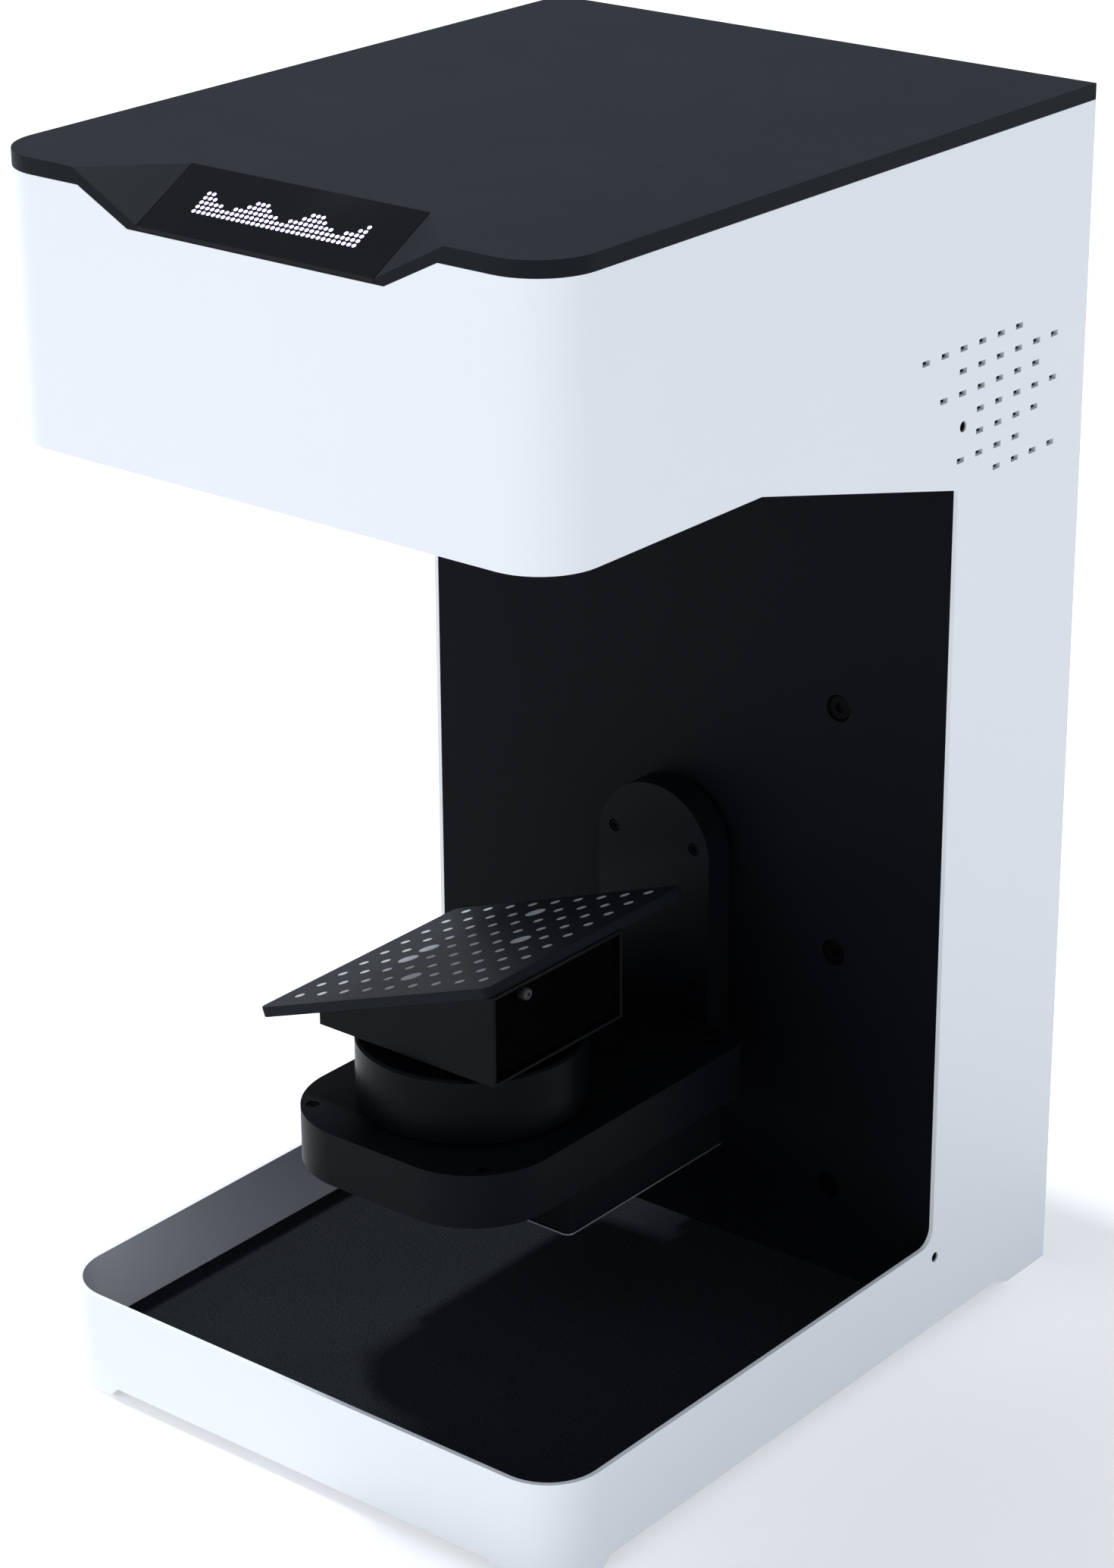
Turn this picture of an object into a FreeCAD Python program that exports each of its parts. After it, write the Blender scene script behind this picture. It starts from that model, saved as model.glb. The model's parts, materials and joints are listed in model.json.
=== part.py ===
import FreeCAD, Part
import math
import os
import Sketcher

# A desktop 3D scanner: a C-shaped housing whose head looks down on a turntable,
# which rides on an arm that swings about a shaft in the column.
# Sizes in millimetres and angles in degrees.
# The origin is on the table under the middle of the housing: +Z up, +X to the
# right of someone who faces the scanner, and +Y towards its back.
# Depths inside the bay are measured forwards from its back face, so the arm
# and the optics keep to the panel when the housing is made deeper.

SIZES = {
    # Housing shell
    "body_width": 270.0,
    "body_depth": 338.5,
    "lid_top": 523.0,
    "lid_thickness": 6.5,
    "shell_wall": 2.0,
    "shell_lift": 1.0,
    "corner_radius": 25.0,
    "bay_rim": 45.8,
    "bay_corner": 8.0,
    "head_bottom": 411.0,
    "slope_run": 129.0,
    "underside_angle": 13.9,
    "foot_relief": 4.2,
    "foot_front_width": 35.0,
    "foot_side_front": 31.5,
    "foot_side_rear": 33.5,
    "foot_slope": 4.0,
    "fit": 0.2,
    "overrun": 10.0,
    "edge_tolerance": 0.01,
    # Display nose of the lid
    "notch_top_inset": 49.0,
    "notch_bottom_half": 61.5,
    "notch_depth": 12.5,
    "facet_inset": 46.0,
    "display_half": 57.0,
    "display_drop": 17.0,
    "display_run": 30.5,
    "display_glass": 1.4,
    "display_board_half": 44.0,
    "display_board_thickness": 1.6,
    "display_board_start": 5.0,
    "display_board_run": 14.0,
    "display_board_gap": 0.3,
    "facet_overrun": 30.0,
    # Vent slots and side screws
    "vent_length": 5.0,
    "vent_height": 2.2,
    "vent_pitch_along": 12.88,
    "vent_pitch_down": 9.02,
    "vent_first_depth": 24.9,
    "vent_first_height": 436.2,
    "side_screw_low": 38.6,
    "side_screw_high": 404.5,
    "side_screw_radius": 1.25,
    "side_screw_head": 2.2,
    "side_screw_sink": 1.4,
    "side_screw_length": 9.0,
    # Base tray, floor and feet
    "foot_radius": 9.0,
    "foot_tip_radius": 8.0,
    "foot_height": 5.0,
    "foot_inset": 28.0,
    "tray_wall": 2.0,
    "tray_height": 7.5,
    "floor_thickness": 2.0,
    # Rear panel, its screws and standoffs
    "panel_thickness": 4.0,
    "panel_top": 412.0,
    "panel_hole_radius": 14.0,
    "panel_screw_side": 80.7,
    "panel_screw_low": 55.7,
    "panel_screw_pitch": 109.45,
    "panel_screw_head": 5.6,
    "panel_screw_head_height": 2.0,
    "panel_screw_sink": 3.0,
    "panel_screw_shank": 2.9,
    "panel_screw_reach": 8.0,
    "standoff_radius": 6.0,
    "standoff_bore": 3.0,
    "standoff_spigot": 2.5,
    # Folded frame in the column
    "frame_sheet": 3.0,
    "gear_clearance": 1.5,
    "motor_room": 13.5,
    "frame_return": 14.0,
    "frame_top": 372.0,
    "rear_inset": 2.5,
    "cover_sheet": 1.5,
    # Swing drive
    "swing_height": 197.0,
    "shaft_radius": 10.0,
    "shaft_shoulder": 12.0,
    "shaft_flange": 20.0,
    "shaft_flange_thickness": 4.5,
    "shaft_tail": 30.0,
    "bearing_outer": 21.0,
    "bearing_width": 12.0,
    "running_fit": 0.05,
    "housing_radius": 25.0,
    "housing_flange": 34.0,
    "housing_flange_thickness": 5.0,
    "housing_nose": 1.5,
    "housing_length": 31.5,
    "gear_module": 2.0,
    "gear_width": 10.0,
    "gear_gap": 3.0,
    "pinion_extra": 0.5,
    "tooth_backlash": 0.24,
    "gear_web": 4.0,
    "gear_hub": 16.0,
    "gear_rim": 6.0,
    "motor_side": 42.3,
    "motor_length": 48.0,
    "motor_corner": 4.0,
    "motor_pilot": 11.0,
    "motor_pilot_height": 2.0,
    "motor_shaft": 2.5,
    "motor_bore_depth": 12.0,
    # Swinging arm
    "arm_half": 59.0,
    "arm_front": 200.0,
    "arm_back": 28.0,
    "arm_bottom": 105.5,
    "arm_thickness": 23.5,
    "arm_front_radius": 37.0,
    "arm_back_radius": 8.0,
    "arm_wall": 2.5,
    "arm_edge_round": 1.0,
    "arm_plate": 1.8,
    "bracket_half": 51.0,
    "bracket_margin": 6.0,
    "bracket_thickness": 6.0,
    "bracket_neck_half": 25.0,
    "bracket_neck_run": 4.0,
    "bracket_upright": 8.0,
    "bracket_bend": 6.0,
    "arm_screw_front_side": 45.0,
    "arm_screw_front_depth": 185.0,
    "arm_screw_back_side": 48.0,
    "arm_screw_back_depth": 39.0,
    "arm_screw_radius": 1.5,
    "arm_screw_head": 2.6,
    "arm_screw_head_height": 1.0,
    "arm_screw_sink": 1.6,
    "arch_half": 29.2,
    "arch_front": 18.0,
    "arch_back": 3.7,
    "arch_wall": 3.0,
    "arch_screw_side": 21.0,
    "arch_screw_high": 202.0,
    "arch_screw_low": 138.6,
    "arch_screw_reach": 5.0,
    # Turntable drive under and inside the arm
    "pod_half": 54.5,
    "pod_front_reach": 5.4,
    "pod_rear_reach": 98.4,
    "pod_bottom": 84.0,
    "pod_wall": 2.0,
    "pod_corner": 3.0,
    "pod_trim": 0.8,
    "pod_trim_proud": 0.4,
    "pancake_length": 20.0,
    "table_gear_module": 1.5,
    "table_gear_width": 7.0,
    "table_gear_lift": 0.8,
    "table_depth": 138.0,
    "ring_radius": 45.0,
    "ring_height": 12.3,
    "ring_step": 4.0,
    "ring_shoulder": 18.0,
    "table_bearing_width": 7.0,
    "spindle_radius": 15.0,
    "spindle_waist": 10.0,
    "spindle_foot": 6.0,
    "spindle_waist_top": 123.0,
    "foot_bearing_outer": 10.5,
    "foot_bearing_width": 5.0,
    # Turntable and calibration target
    "drum_radius": 47.5,
    "drum_height": 17.0,
    "drum_gap": 0.4,
    "drum_edge": 1.0,
    "skirt_gap": 1.2,
    "skirt_clearance": 0.5,
    "adapter_radius": 30.0,
    "adapter_height": 3.5,
    "block_half_width": 46.0,
    "block_half_depth": 40.5,
    "block_low": 5.2,
    "block_tilt_angle": 20.3,
    "block_rim": 1.5,
    "block_rim_top": 1.8,
    "block_recess": 3.2,
    "end_cover": 1.0,
    "knob_radius": 2.6,
    "knob_height": 4.5,
    "knob_stem": 1.5,
    "knob_from_front": 18.8,
    "knob_below_top": 4.8,
    "board_width": 131.0,
    "board_depth": 124.5,
    "board_thickness": 4.4,
    "board_corner": 4.0,
    "board_end_inset": 0.9,
    "board_front_proud": 0.8,
    # Optics in the head
    "sheet": 1.5,
    "bench_gap": 14.8,
    "bench_half_depth": 34.0,
    "bench_height": 45.0,
    "bench_sheet": 3.0,
    "projector_half": 37.5,
    "projector_half_depth": 33.0,
    "projector_height": 45.0,
    "fin_width": 3.0,
    "fin_pitch": 7.5,
    "fin_depth": 8.0,
    "projector_lens_radius": 15.0,
    "projector_lens_nose": 12.0,
    "projector_lens_length": 36.0,
    "lens_lip": 2.0,
    "camera_inset": 33.0,
    "camera_toe_angle": 16.8,
    "camera_half": 14.5,
    "camera_length": 42.0,
    "camera_lens_radius": 12.0,
    "camera_lens_nose": 10.0,
    "camera_lens_length": 30.0,
    "bench_hole": 17.0,
    "window_thickness": 2.0,
    "window_lap": 3.0,
    "projector_window_half": 26.0,
    "projector_window_half_depth": 20.0,
    "camera_window_radius": 15.0,
    "camera_window_shift": 14.0,
    # Electronics in the column
    "supply_depth": 36.0,
    "supply_height": 160.0,
    "supply_side": 27.0,
    "supply_inset": 10.0,
    "supply_lift": 16.0,
    "supply_lip": 3.0,
    "supply_lip_height": 20.0,
    "circuit_inset": 12.0,
    "circuit_height": 140.0,
    "circuit_thickness": 1.6,
    "circuit_standoff": 8.0,
    "circuit_hole_inset": 5.0,
    "circuit_post_radius": 3.0,
    "chip_height": 6.0,
    "fan_side": 60.0,
    "fan_thickness": 15.0,
    "fan_depth": 38.0,
    "fan_height": 409.0,
    "fan_opening": 28.5,
    "fan_hub": 13.0,
    "fan_base": 3.0,
    "fan_strut": 4.0,
    "fan_pin": 1.5,
    "fan_gap": 0.4,
    "fan_blade_reach": 26.6,
    "fan_blade_thickness": 1.2,
    "fan_blade_angle": 38.0,
    "fan_hole_radius": 2.2,
    "fan_hole_side": 25.0,
    # Back cover and sockets
    "slot_width": 3.0,
    "slot_height": 44.0,
    "slot_pitch": 8.0,
    "slot_bottom": 430.0,
    "low_slot_bottom": 210.0,
    "back_screw_inset": 11.5,
    "back_screw_low": 36.0,
    "back_screw_pitch": 155.0,
    "back_screw_head": 3.0,
    "back_screw_head_height": 1.7,
    "back_screw_shank": 1.5,
    "back_screw_reach": 6.0,
    "socket_row": 62.0,
    "socket_flange": 1.4,
    "socket_lip": 2.5,
    "inlet_side": 62.0,
    "inlet_half_width": 13.5,
    "inlet_half_height": 10.0,
    "inlet_depth": 20.0,
    "inlet_wall": 2.0,
    "inlet_recess": 15.0,
    "inlet_pin_half_width": 1.0,
    "inlet_pin_half_height": 2.0,
    "inlet_pin_pitch": 7.0,
    "switch_side": 20.0,
    "switch_half_width": 6.5,
    "switch_half_height": 9.5,
    "switch_depth": 14.0,
    "switch_wall": 1.2,
    "rocker_gap": 0.3,
    "rocker_pin": 1.5,
    "rocker_depth": 6.0,
    "rocker_rise": 2.0,
    "rocker_rest_angle": 7.0,
    "usb_side": 60.0,
    "usb_half_width": 6.0,
    "usb_half_height": 5.5,
    "usb_depth": 16.0,
    "usb_wall": 1.0,
    "usb_tongue_half": 3.0,
}

COUNTS = {
    "gear_teeth": 45,
    "pinion_teeth": 15,
    "fan_blades": 7,
    "fins": 8,
    "slots": 14,
}

# First and last slot column of each vent row, from the top row down.
VENT_ROWS = [(0, 5), (2, 7), (1, 6), (3, 7), (3, 6), (2, 5), (4, 7)]

TOOTH_PRESSURE_ANGLE = 20.0
TOOTH_TIP_SHARE = 1.0
TOOTH_ROOT_SHARE = 1.25

X_AXIS = FreeCAD.Vector(1, 0, 0)
Y_AXIS = FreeCAD.Vector(0, 1, 0)
Z_AXIS = FreeCAD.Vector(0, 0, 1)

doc = FreeCAD.newDocument("desktop_scanner")
parts = {}


class Size:
    """A number together with the sheet expression that gives it."""

    def __init__(self, number, text):
        self.number = number
        self.text = text

    def __add__(self, other):
        return combined(self, other, "+")

    def __radd__(self, other):
        return combined(other, self, "+")

    def __sub__(self, other):
        return combined(self, other, "-")

    def __rsub__(self, other):
        return combined(other, self, "-")

    def __mul__(self, other):
        return combined(self, other, "*")

    def __rmul__(self, other):
        return combined(other, self, "*")

    def __truediv__(self, other):
        return combined(self, other, "/")

    def __neg__(self):
        return combined(0, self, "-")


def size_of(value):
    """A plain number becomes a Size, and a Size stays as it is."""
    if isinstance(value, Size):
        return value
    return Size(float(value), repr(float(value)))


def combined(left, right, sign):
    left = size_of(left)
    right = size_of(right)
    results = {
        "+": left.number + right.number,
        "-": left.number - right.number,
        "*": left.number * right.number,
    }
    if sign == "/":
        results["/"] = left.number / right.number
    return Size(results[sign], "(" + left.text + " " + sign + " " + right.text + ")")


def sine(angle):
    return Size(math.sin(math.radians(angle.number)), "sin(" + angle.text + ")")


def cosine(angle):
    return Size(math.cos(math.radians(angle.number)), "cos(" + angle.text + ")")


def tangent(angle):
    return Size(math.tan(math.radians(angle.number)), "tan(" + angle.text + ")")


class SheetNames:
    """Every size of the sheet as an attribute."""


def fill_sheet():
    sheet = doc.addObject("Spreadsheet::Sheet", "Sizes")
    names = SheetNames()
    rows = list(SIZES.items()) + list(COUNTS.items())
    for row, (name, number) in enumerate(rows, 1):
        sheet.set("A%d" % row, name)
        sheet.set("B%d" % row, str(number))
        sheet.setAlias("B%d" % row, name)
        setattr(names, name, Size(number, "Sizes." + name))
    doc.recompute()
    return names


def bind(item, name, value):
    """The property follows the sheet."""
    item.setExpression(name, size_of(value).text)


def place(item, x=0, y=0, z=0, axis=None, angle=None):
    if axis is not None:
        turn = FreeCAD.Rotation(axis, angle.number)
        item.Placement = FreeCAD.Placement(FreeCAD.Vector(), turn)
        bind(item, "Placement.Rotation.Angle", angle)
    bind(item, "Placement.Base.x", x)
    bind(item, "Placement.Base.y", y)
    bind(item, "Placement.Base.z", z)
    return item


def turned_to(item, direction):
    """An upright piece is laid along X, Y or their opposites."""
    turns = {
        "x": FreeCAD.Rotation(Y_AXIS, 90),
        "-x": FreeCAD.Rotation(Y_AXIS, -90),
        "y": FreeCAD.Rotation(X_AXIS, -90),
        "-y": FreeCAD.Rotation(X_AXIS, 90),
        "z": FreeCAD.Rotation(),
        "-z": FreeCAD.Rotation(X_AXIS, 180),
    }
    item.Placement = FreeCAD.Placement(item.Placement.Base, turns[direction])
    return item


def block(name, low, high):
    """A plain block between two corners."""
    item = doc.addObject("Part::Box", name)
    for side, first, last in zip(("Length", "Width", "Height"), low, high):
        bind(item, side, last - first)
    return place(item, *low)


def rod(name, radius, base, length, direction="z"):
    item = doc.addObject("Part::Cylinder", name)
    bind(item, "Radius", radius)
    bind(item, "Height", length)
    turned_to(item, direction)
    return place(item, *base)


def hexagon(name, radius, base, length, direction):
    """A six-sided spacer."""
    item = doc.addObject("Part::Prism", name)
    item.Polygon = 6
    bind(item, "Circumradius", radius)
    bind(item, "Height", length)
    turned_to(item, direction)
    return place(item, *base)


def joined(name, items):
    item = doc.addObject("Part::MultiFuse", name)
    item.Shapes = items
    return item


def cut(name, base, tools):
    """The base without the tools."""
    tool = tools[0]
    if len(tools) > 1:
        tool = joined(name + "_tools", tools)
    item = doc.addObject("Part::Cut", name)
    item.Base = base
    item.Tool = tool
    return item


def group(name, items):
    """Separate solids that share one node."""
    item = doc.addObject("Part::Compound", name)
    item.Links = items
    return item


def keep(node, item):
    """The item is one sub-part, and its label names its file."""
    item.Label = node
    parts[node] = item
    return item


def new_body(name):
    return doc.addObject("PartDesign::Body", name)


def sketch_on(owner, name, role, offset=0):
    """A sketch on one of the body's own origin planes."""
    planes = [plane for plane in owner.Origin.OriginFeatures if plane.Role == role]
    item = owner.newObject("Sketcher::SketchObject", name)
    item.AttachmentSupport = [(planes[0], "")]
    item.MapMode = "FlatFace"
    bind(item, "AttachmentOffset.Base.z", offset)
    return item


def free_sketch(name, y):
    """A sketch in an upright plane across the scanner."""
    item = doc.addObject("Sketcher::SketchObject", name)
    item.Placement = FreeCAD.Placement(FreeCAD.Vector(), FreeCAD.Rotation(X_AXIS, 90))
    bind(item, "Placement.Base.y", y)
    return item


def pin(item, geometry, end, across, up):
    """One point of the sketch is held by its two distances from the origin."""
    for kind, value in (("DistanceX", across), ("DistanceY", up)):
        value = size_of(value)
        number = item.addConstraint(Sketcher.Constraint(kind, -1, 1, geometry, end, value.number))
        item.setExpression("Constraints[%d]" % number, value.text)


def outline(item, points):
    """A closed outline of straight lines through the points."""
    first = item.GeometryCount
    limit = item.ConstraintCount
    sizes = [(size_of(x), size_of(y)) for x, y in points]
    places = [FreeCAD.Vector(x.number, y.number, 0) for x, y in sizes]
    count = len(points)
    lines = []
    limits = []
    for number in range(count):
        following = (number + 1) % count
        lines.append(Part.LineSegment(places[number], places[following]))
        limits.append(Sketcher.Constraint("Coincident", first + number, 2, first + following, 1))
    for number, (x, y) in enumerate(sizes):
        limits.append(Sketcher.Constraint("DistanceX", -1, 1, first + number, 1, x.number))
        limits.append(Sketcher.Constraint("DistanceY", -1, 1, first + number, 1, y.number))
    item.addGeometry(lines, False)
    item.addConstraint(limits)
    for number, (x, y) in enumerate(sizes):
        item.setExpression("Constraints[%d]" % (limit + count + 2 * number), x.text)
        item.setExpression("Constraints[%d]" % (limit + count + 2 * number + 1), y.text)


def rectangle(item, low, high):
    outline(item, [low, (high[0], low[1]), high, (low[0], high[1])])


def circle(item, x, y, radius):
    radius = size_of(radius)
    centre = FreeCAD.Vector(size_of(x).number, size_of(y).number, 0)
    number = item.addGeometry(Part.Circle(centre, Z_AXIS, radius.number), False)
    pin(item, number, 3, x, y)
    limit = item.addConstraint(Sketcher.Constraint("Radius", number, radius.number))
    item.setExpression("Constraints[%d]" % limit, radius.text)


def arch(item, half, bottom, centre):
    """An upright outline with a half-round top."""
    half = size_of(half)
    bottom = size_of(bottom)
    centre = size_of(centre)
    corners = [
        FreeCAD.Vector(-half.number, bottom.number, 0),
        FreeCAD.Vector(-half.number, centre.number, 0),
        FreeCAD.Vector(half.number, centre.number, 0),
        FreeCAD.Vector(half.number, bottom.number, 0),
    ]
    item.addGeometry(Part.LineSegment(corners[0], corners[1]), False)
    middle = FreeCAD.Vector(0, centre.number, 0)
    ring = Part.Circle(middle, Z_AXIS, half.number)
    item.addGeometry(Part.ArcOfCircle(ring, 0, math.pi), False)
    item.addGeometry(Part.LineSegment(corners[2], corners[3]), False)
    item.addGeometry(Part.LineSegment(corners[3], corners[0]), False)
    item.addConstraint(Sketcher.Constraint("Coincident", 0, 2, 1, 2))
    item.addConstraint(Sketcher.Constraint("Coincident", 1, 1, 2, 1))
    item.addConstraint(Sketcher.Constraint("Coincident", 2, 2, 3, 1))
    item.addConstraint(Sketcher.Constraint("Coincident", 3, 2, 0, 1))
    pin(item, 0, 1, -half, bottom)
    pin(item, 3, 1, half, bottom)
    pin(item, 1, 3, 0, centre)
    limits = [
        item.addConstraint(Sketcher.Constraint("Radius", 1, half.number)),
        item.addConstraint(Sketcher.Constraint("DistanceY", -1, 1, 0, 2, centre.number)),
        item.addConstraint(Sketcher.Constraint("DistanceY", -1, 1, 2, 1, centre.number)),
    ]
    for number, value in zip(limits, (half, centre, centre)):
        item.setExpression("Constraints[%d]" % number, value.text)


def pad(owner, name, profile, length, reverse=False, middle=False):
    item = owner.newObject("PartDesign::Pad", name)
    item.Profile = profile
    bind(item, "Length", length)
    item.Reversed = reverse
    item.Midplane = middle
    return item


def pocket(owner, name, profile, length=None, reverse=False):
    """A cut to a depth, or right through both ways where no depth is given."""
    item = owner.newObject("PartDesign::Pocket", name)
    item.Profile = profile
    if length is None:
        item.Type = "ThroughAll"
        item.Midplane = True
    else:
        bind(item, "Length", length)
        item.Reversed = reverse
    return item


def at_place(value, target):
    """Whether a measured place is the named one."""
    return abs(value - target.number) < S.edge_tolerance.number


def straight_edges(feature, direction, test):
    """Names of the straight edges along a direction whose middle passes the test."""
    doc.recompute()
    names = []
    for number, edge in enumerate(feature.Shape.Edges, 1):
        if edge.Curve.TypeId != "Part::GeomLine":
            continue
        along = abs(edge.Curve.Direction.dot(direction))
        if math.isclose(along, 1, rel_tol=1e-6) and test(edge.CenterOfMass):
            names.append("Edge%d" % number)
    return names


def repeated(owner, name, feature, profile, count, length):
    """The feature again and again along its sketch's own X, over the whole length."""
    doc.recompute()
    pattern = owner.newObject("PartDesign::LinearPattern", name)
    pattern.Originals = [feature]
    pattern.Direction = (profile, ["H_Axis"])
    bind(pattern, "Occurrences", count)
    bind(pattern, "Length", length)
    owner.Tip = pattern


def flat_faces(feature, tests):
    """Names of the flat faces whose outward direction is in the list."""
    doc.recompute()
    names = []
    for number, face in enumerate(feature.Shape.Faces, 1):
        if face.Surface.TypeId != "Part::GeomPlane":
            continue
        outward = face.normalAt(0, 0)
        if any(math.isclose(outward.dot(test), 1, rel_tol=1e-6) for test in tests):
            names.append("Face%d" % number)
    return names


def fillet(owner, name, feature, edges, radius):
    item = owner.newObject("PartDesign::Fillet", name)
    item.Base = (feature, edges)
    bind(item, "Radius", radius)
    return item


def hollow(owner, name, feature, open_faces, wall):
    """Walls of one thickness inside the solid, open at the named faces."""
    item = owner.newObject("PartDesign::Thickness", name)
    item.Base = (feature, open_faces)
    bind(item, "Value", wall)
    item.Reversed = True
    item.Join = "Intersection"
    return item


def turned(name, profile):
    """A body turned about Z from a half profile of (radius, height) points."""
    owner = new_body(name)
    item = sketch_on(owner, name + "_profile", "XZ_Plane")
    outline(item, profile)
    turn = owner.newObject("PartDesign::Revolution", name + "_turn")
    turn.Profile = item
    turn.ReferenceAxis = (item, ["V_Axis"])
    turn.Angle = 360.0
    return owner


def slanted(name, points, y, run, rise):
    """An upright outline carried back and up along a slope."""
    profile = free_sketch(name + "_outline", y)
    outline(profile, points)
    item = doc.addObject("Part::Extrusion", name)
    item.Base = profile
    item.DirMode = "Custom"
    item.Dir = FreeCAD.Vector(0, run.number, rise.number)
    bind(item, "Dir.y", run)
    bind(item, "Dir.z", rise)
    item.Solid = True
    return item


S = fill_sheet()

half_width = S.body_width / 2
inner_half = half_width - S.shell_wall
loose_half = inner_half - S.fit
front = -(S.body_depth / 2)
back = S.body_depth / 2
lid_bottom = S.lid_top - S.lid_thickness
shell_front = front + S.shell_wall + S.fit
cover_rear = back - S.rear_inset
cover_face = cover_rear - S.cover_sheet
frame_rear = cover_face - S.motor_room - S.motor_length
frame_face = frame_rear - S.frame_sheet
panel_rear = frame_face - S.housing_nose - S.gear_clearance - S.gear_width - S.gear_gap
panel_face = panel_rear - S.panel_thickness
screw_row = panel_face + S.panel_thickness / 2
slope_start = panel_face - S.slope_run
slope_end_height = S.head_bottom - S.slope_run * tangent(S.underside_angle)
facet_half = half_width - S.facet_inset
notch_top = half_width - S.notch_top_inset
bench_half = loose_half - S.bench_gap
camera_side = bench_half - S.camera_inset
window_side = camera_side - S.camera_window_shift
frame_end = cover_face - S.fit
tray_top = S.foot_height + S.tray_height
floor_top = tray_top + S.floor_thickness


# Housing

def make_outer_shell():
    """One folded sheet: both sides, the head's front and the base's front."""
    owner = new_body("shell_body")
    plan = sketch_on(owner, "shell_plan", "XY_Plane", S.shell_lift)
    rectangle(plan, (-half_width, front), (half_width, back))
    solid = pad(owner, "shell_solid", plan, lid_bottom - S.shell_lift)
    corners = straight_edges(solid, Z_AXIS, lambda middle: middle.y < 0)
    rounded = fillet(owner, "shell_corners", solid, corners, S.corner_radius)
    ends = flat_faces(rounded, [Z_AXIS, -Z_AXIS, Y_AXIS])
    walls = hollow(owner, "shell_walls", rounded, ends, S.shell_wall)

    side = sketch_on(owner, "bay_outline", "YZ_Plane")
    outline(side, [
        (front - S.overrun, S.bay_rim),
        (panel_face, S.bay_rim),
        (panel_face, slope_end_height),
        (slope_start, S.head_bottom),
        (front - S.overrun, S.head_bottom),
    ])
    bay = pocket(owner, "bay", side)
    low = straight_edges(bay, X_AXIS, lambda middle: at_place(middle.z, S.bay_rim)
                         and at_place(middle.y, panel_face))
    fillet(owner, "bay_corner_round", bay, low, S.bay_corner)

    relief_top = S.shell_lift + S.foot_relief
    across = sketch_on(owner, "front_relief_outline", "XZ_Plane")
    relief_half = half_width - S.foot_front_width
    outline(across, [
        (-relief_half - S.foot_slope, S.shell_lift - S.overrun * S.foot_relief / S.foot_slope),
        (relief_half + S.foot_slope, S.shell_lift - S.overrun * S.foot_relief / S.foot_slope),
        (relief_half + S.foot_slope, S.shell_lift),
        (relief_half, relief_top),
        (-relief_half, relief_top),
        (-relief_half - S.foot_slope, S.shell_lift),
    ])
    pocket(owner, "front_relief", across)
    along = sketch_on(owner, "side_relief_outline", "YZ_Plane")
    relief_start = front + S.foot_side_front
    relief_end = back - S.foot_side_rear
    outline(along, [
        (relief_start - S.foot_slope, S.shell_lift - S.overrun),
        (relief_end + S.foot_slope, S.shell_lift - S.overrun),
        (relief_end + S.foot_slope, S.shell_lift),
        (relief_end, relief_top),
        (relief_start, relief_top),
        (relief_start - S.foot_slope, S.shell_lift),
    ])
    pocket(owner, "side_relief", along)

    nose = sketch_on(owner, "nose_outline", "XZ_Plane")
    nose_bottom = lid_bottom - S.notch_depth
    outline(nose, [
        (-S.notch_bottom_half, nose_bottom),
        (S.notch_bottom_half, nose_bottom),
        (notch_top, lid_bottom),
        (notch_top, lid_bottom + S.overrun),
        (-notch_top, lid_bottom + S.overrun),
        (-notch_top, lid_bottom),
    ])
    pocket(owner, "nose_notch", nose)

    for row, (first, last) in enumerate(VENT_ROWS):
        y = panel_face - S.vent_first_depth + S.vent_pitch_along * first
        z = S.vent_first_height - S.vent_pitch_down * row
        vent = sketch_on(owner, "vent_outline_%d" % row, "YZ_Plane")
        rectangle(vent, (y - S.vent_length / 2, z - S.vent_height / 2),
                  (y + S.vent_length / 2, z + S.vent_height / 2))
        slot = pocket(owner, "vent_%d" % row, vent)
        span = S.vent_pitch_along * (last - first)
        repeated(owner, "vent_row_%d" % row, slot, vent, last - first + 1, span)

    holes = sketch_on(owner, "side_screw_holes_outline", "YZ_Plane")
    for height in (S.side_screw_low, S.side_screw_high):
        circle(holes, screw_row, height, S.side_screw_head + S.running_fit)
    pocket(owner, "side_screw_holes", holes)
    keep("outer_shell", owner)


def make_side_screws():
    """Four small screws through the side walls into the edges of the rear panel."""
    screws = []
    for side, way in ((1, "-x"), (-1, "x")):
        for height in (S.side_screw_low, S.side_screw_high):
            name = "side_screw_%d" % (len(screws) // 2)
            y = screw_row
            head_x = side * (half_width - (S.shell_wall - S.side_screw_sink))
            head = rod(name + "_head", S.side_screw_head, (head_x, y, height), S.side_screw_sink, way)
            shank = rod(name + "_shank", S.side_screw_radius, (head_x, y, height),
                        S.side_screw_length, way)
            screws.append(joined(name, [head, shank]))
    keep("side_screws", group("side_screw_set", screws))


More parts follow.
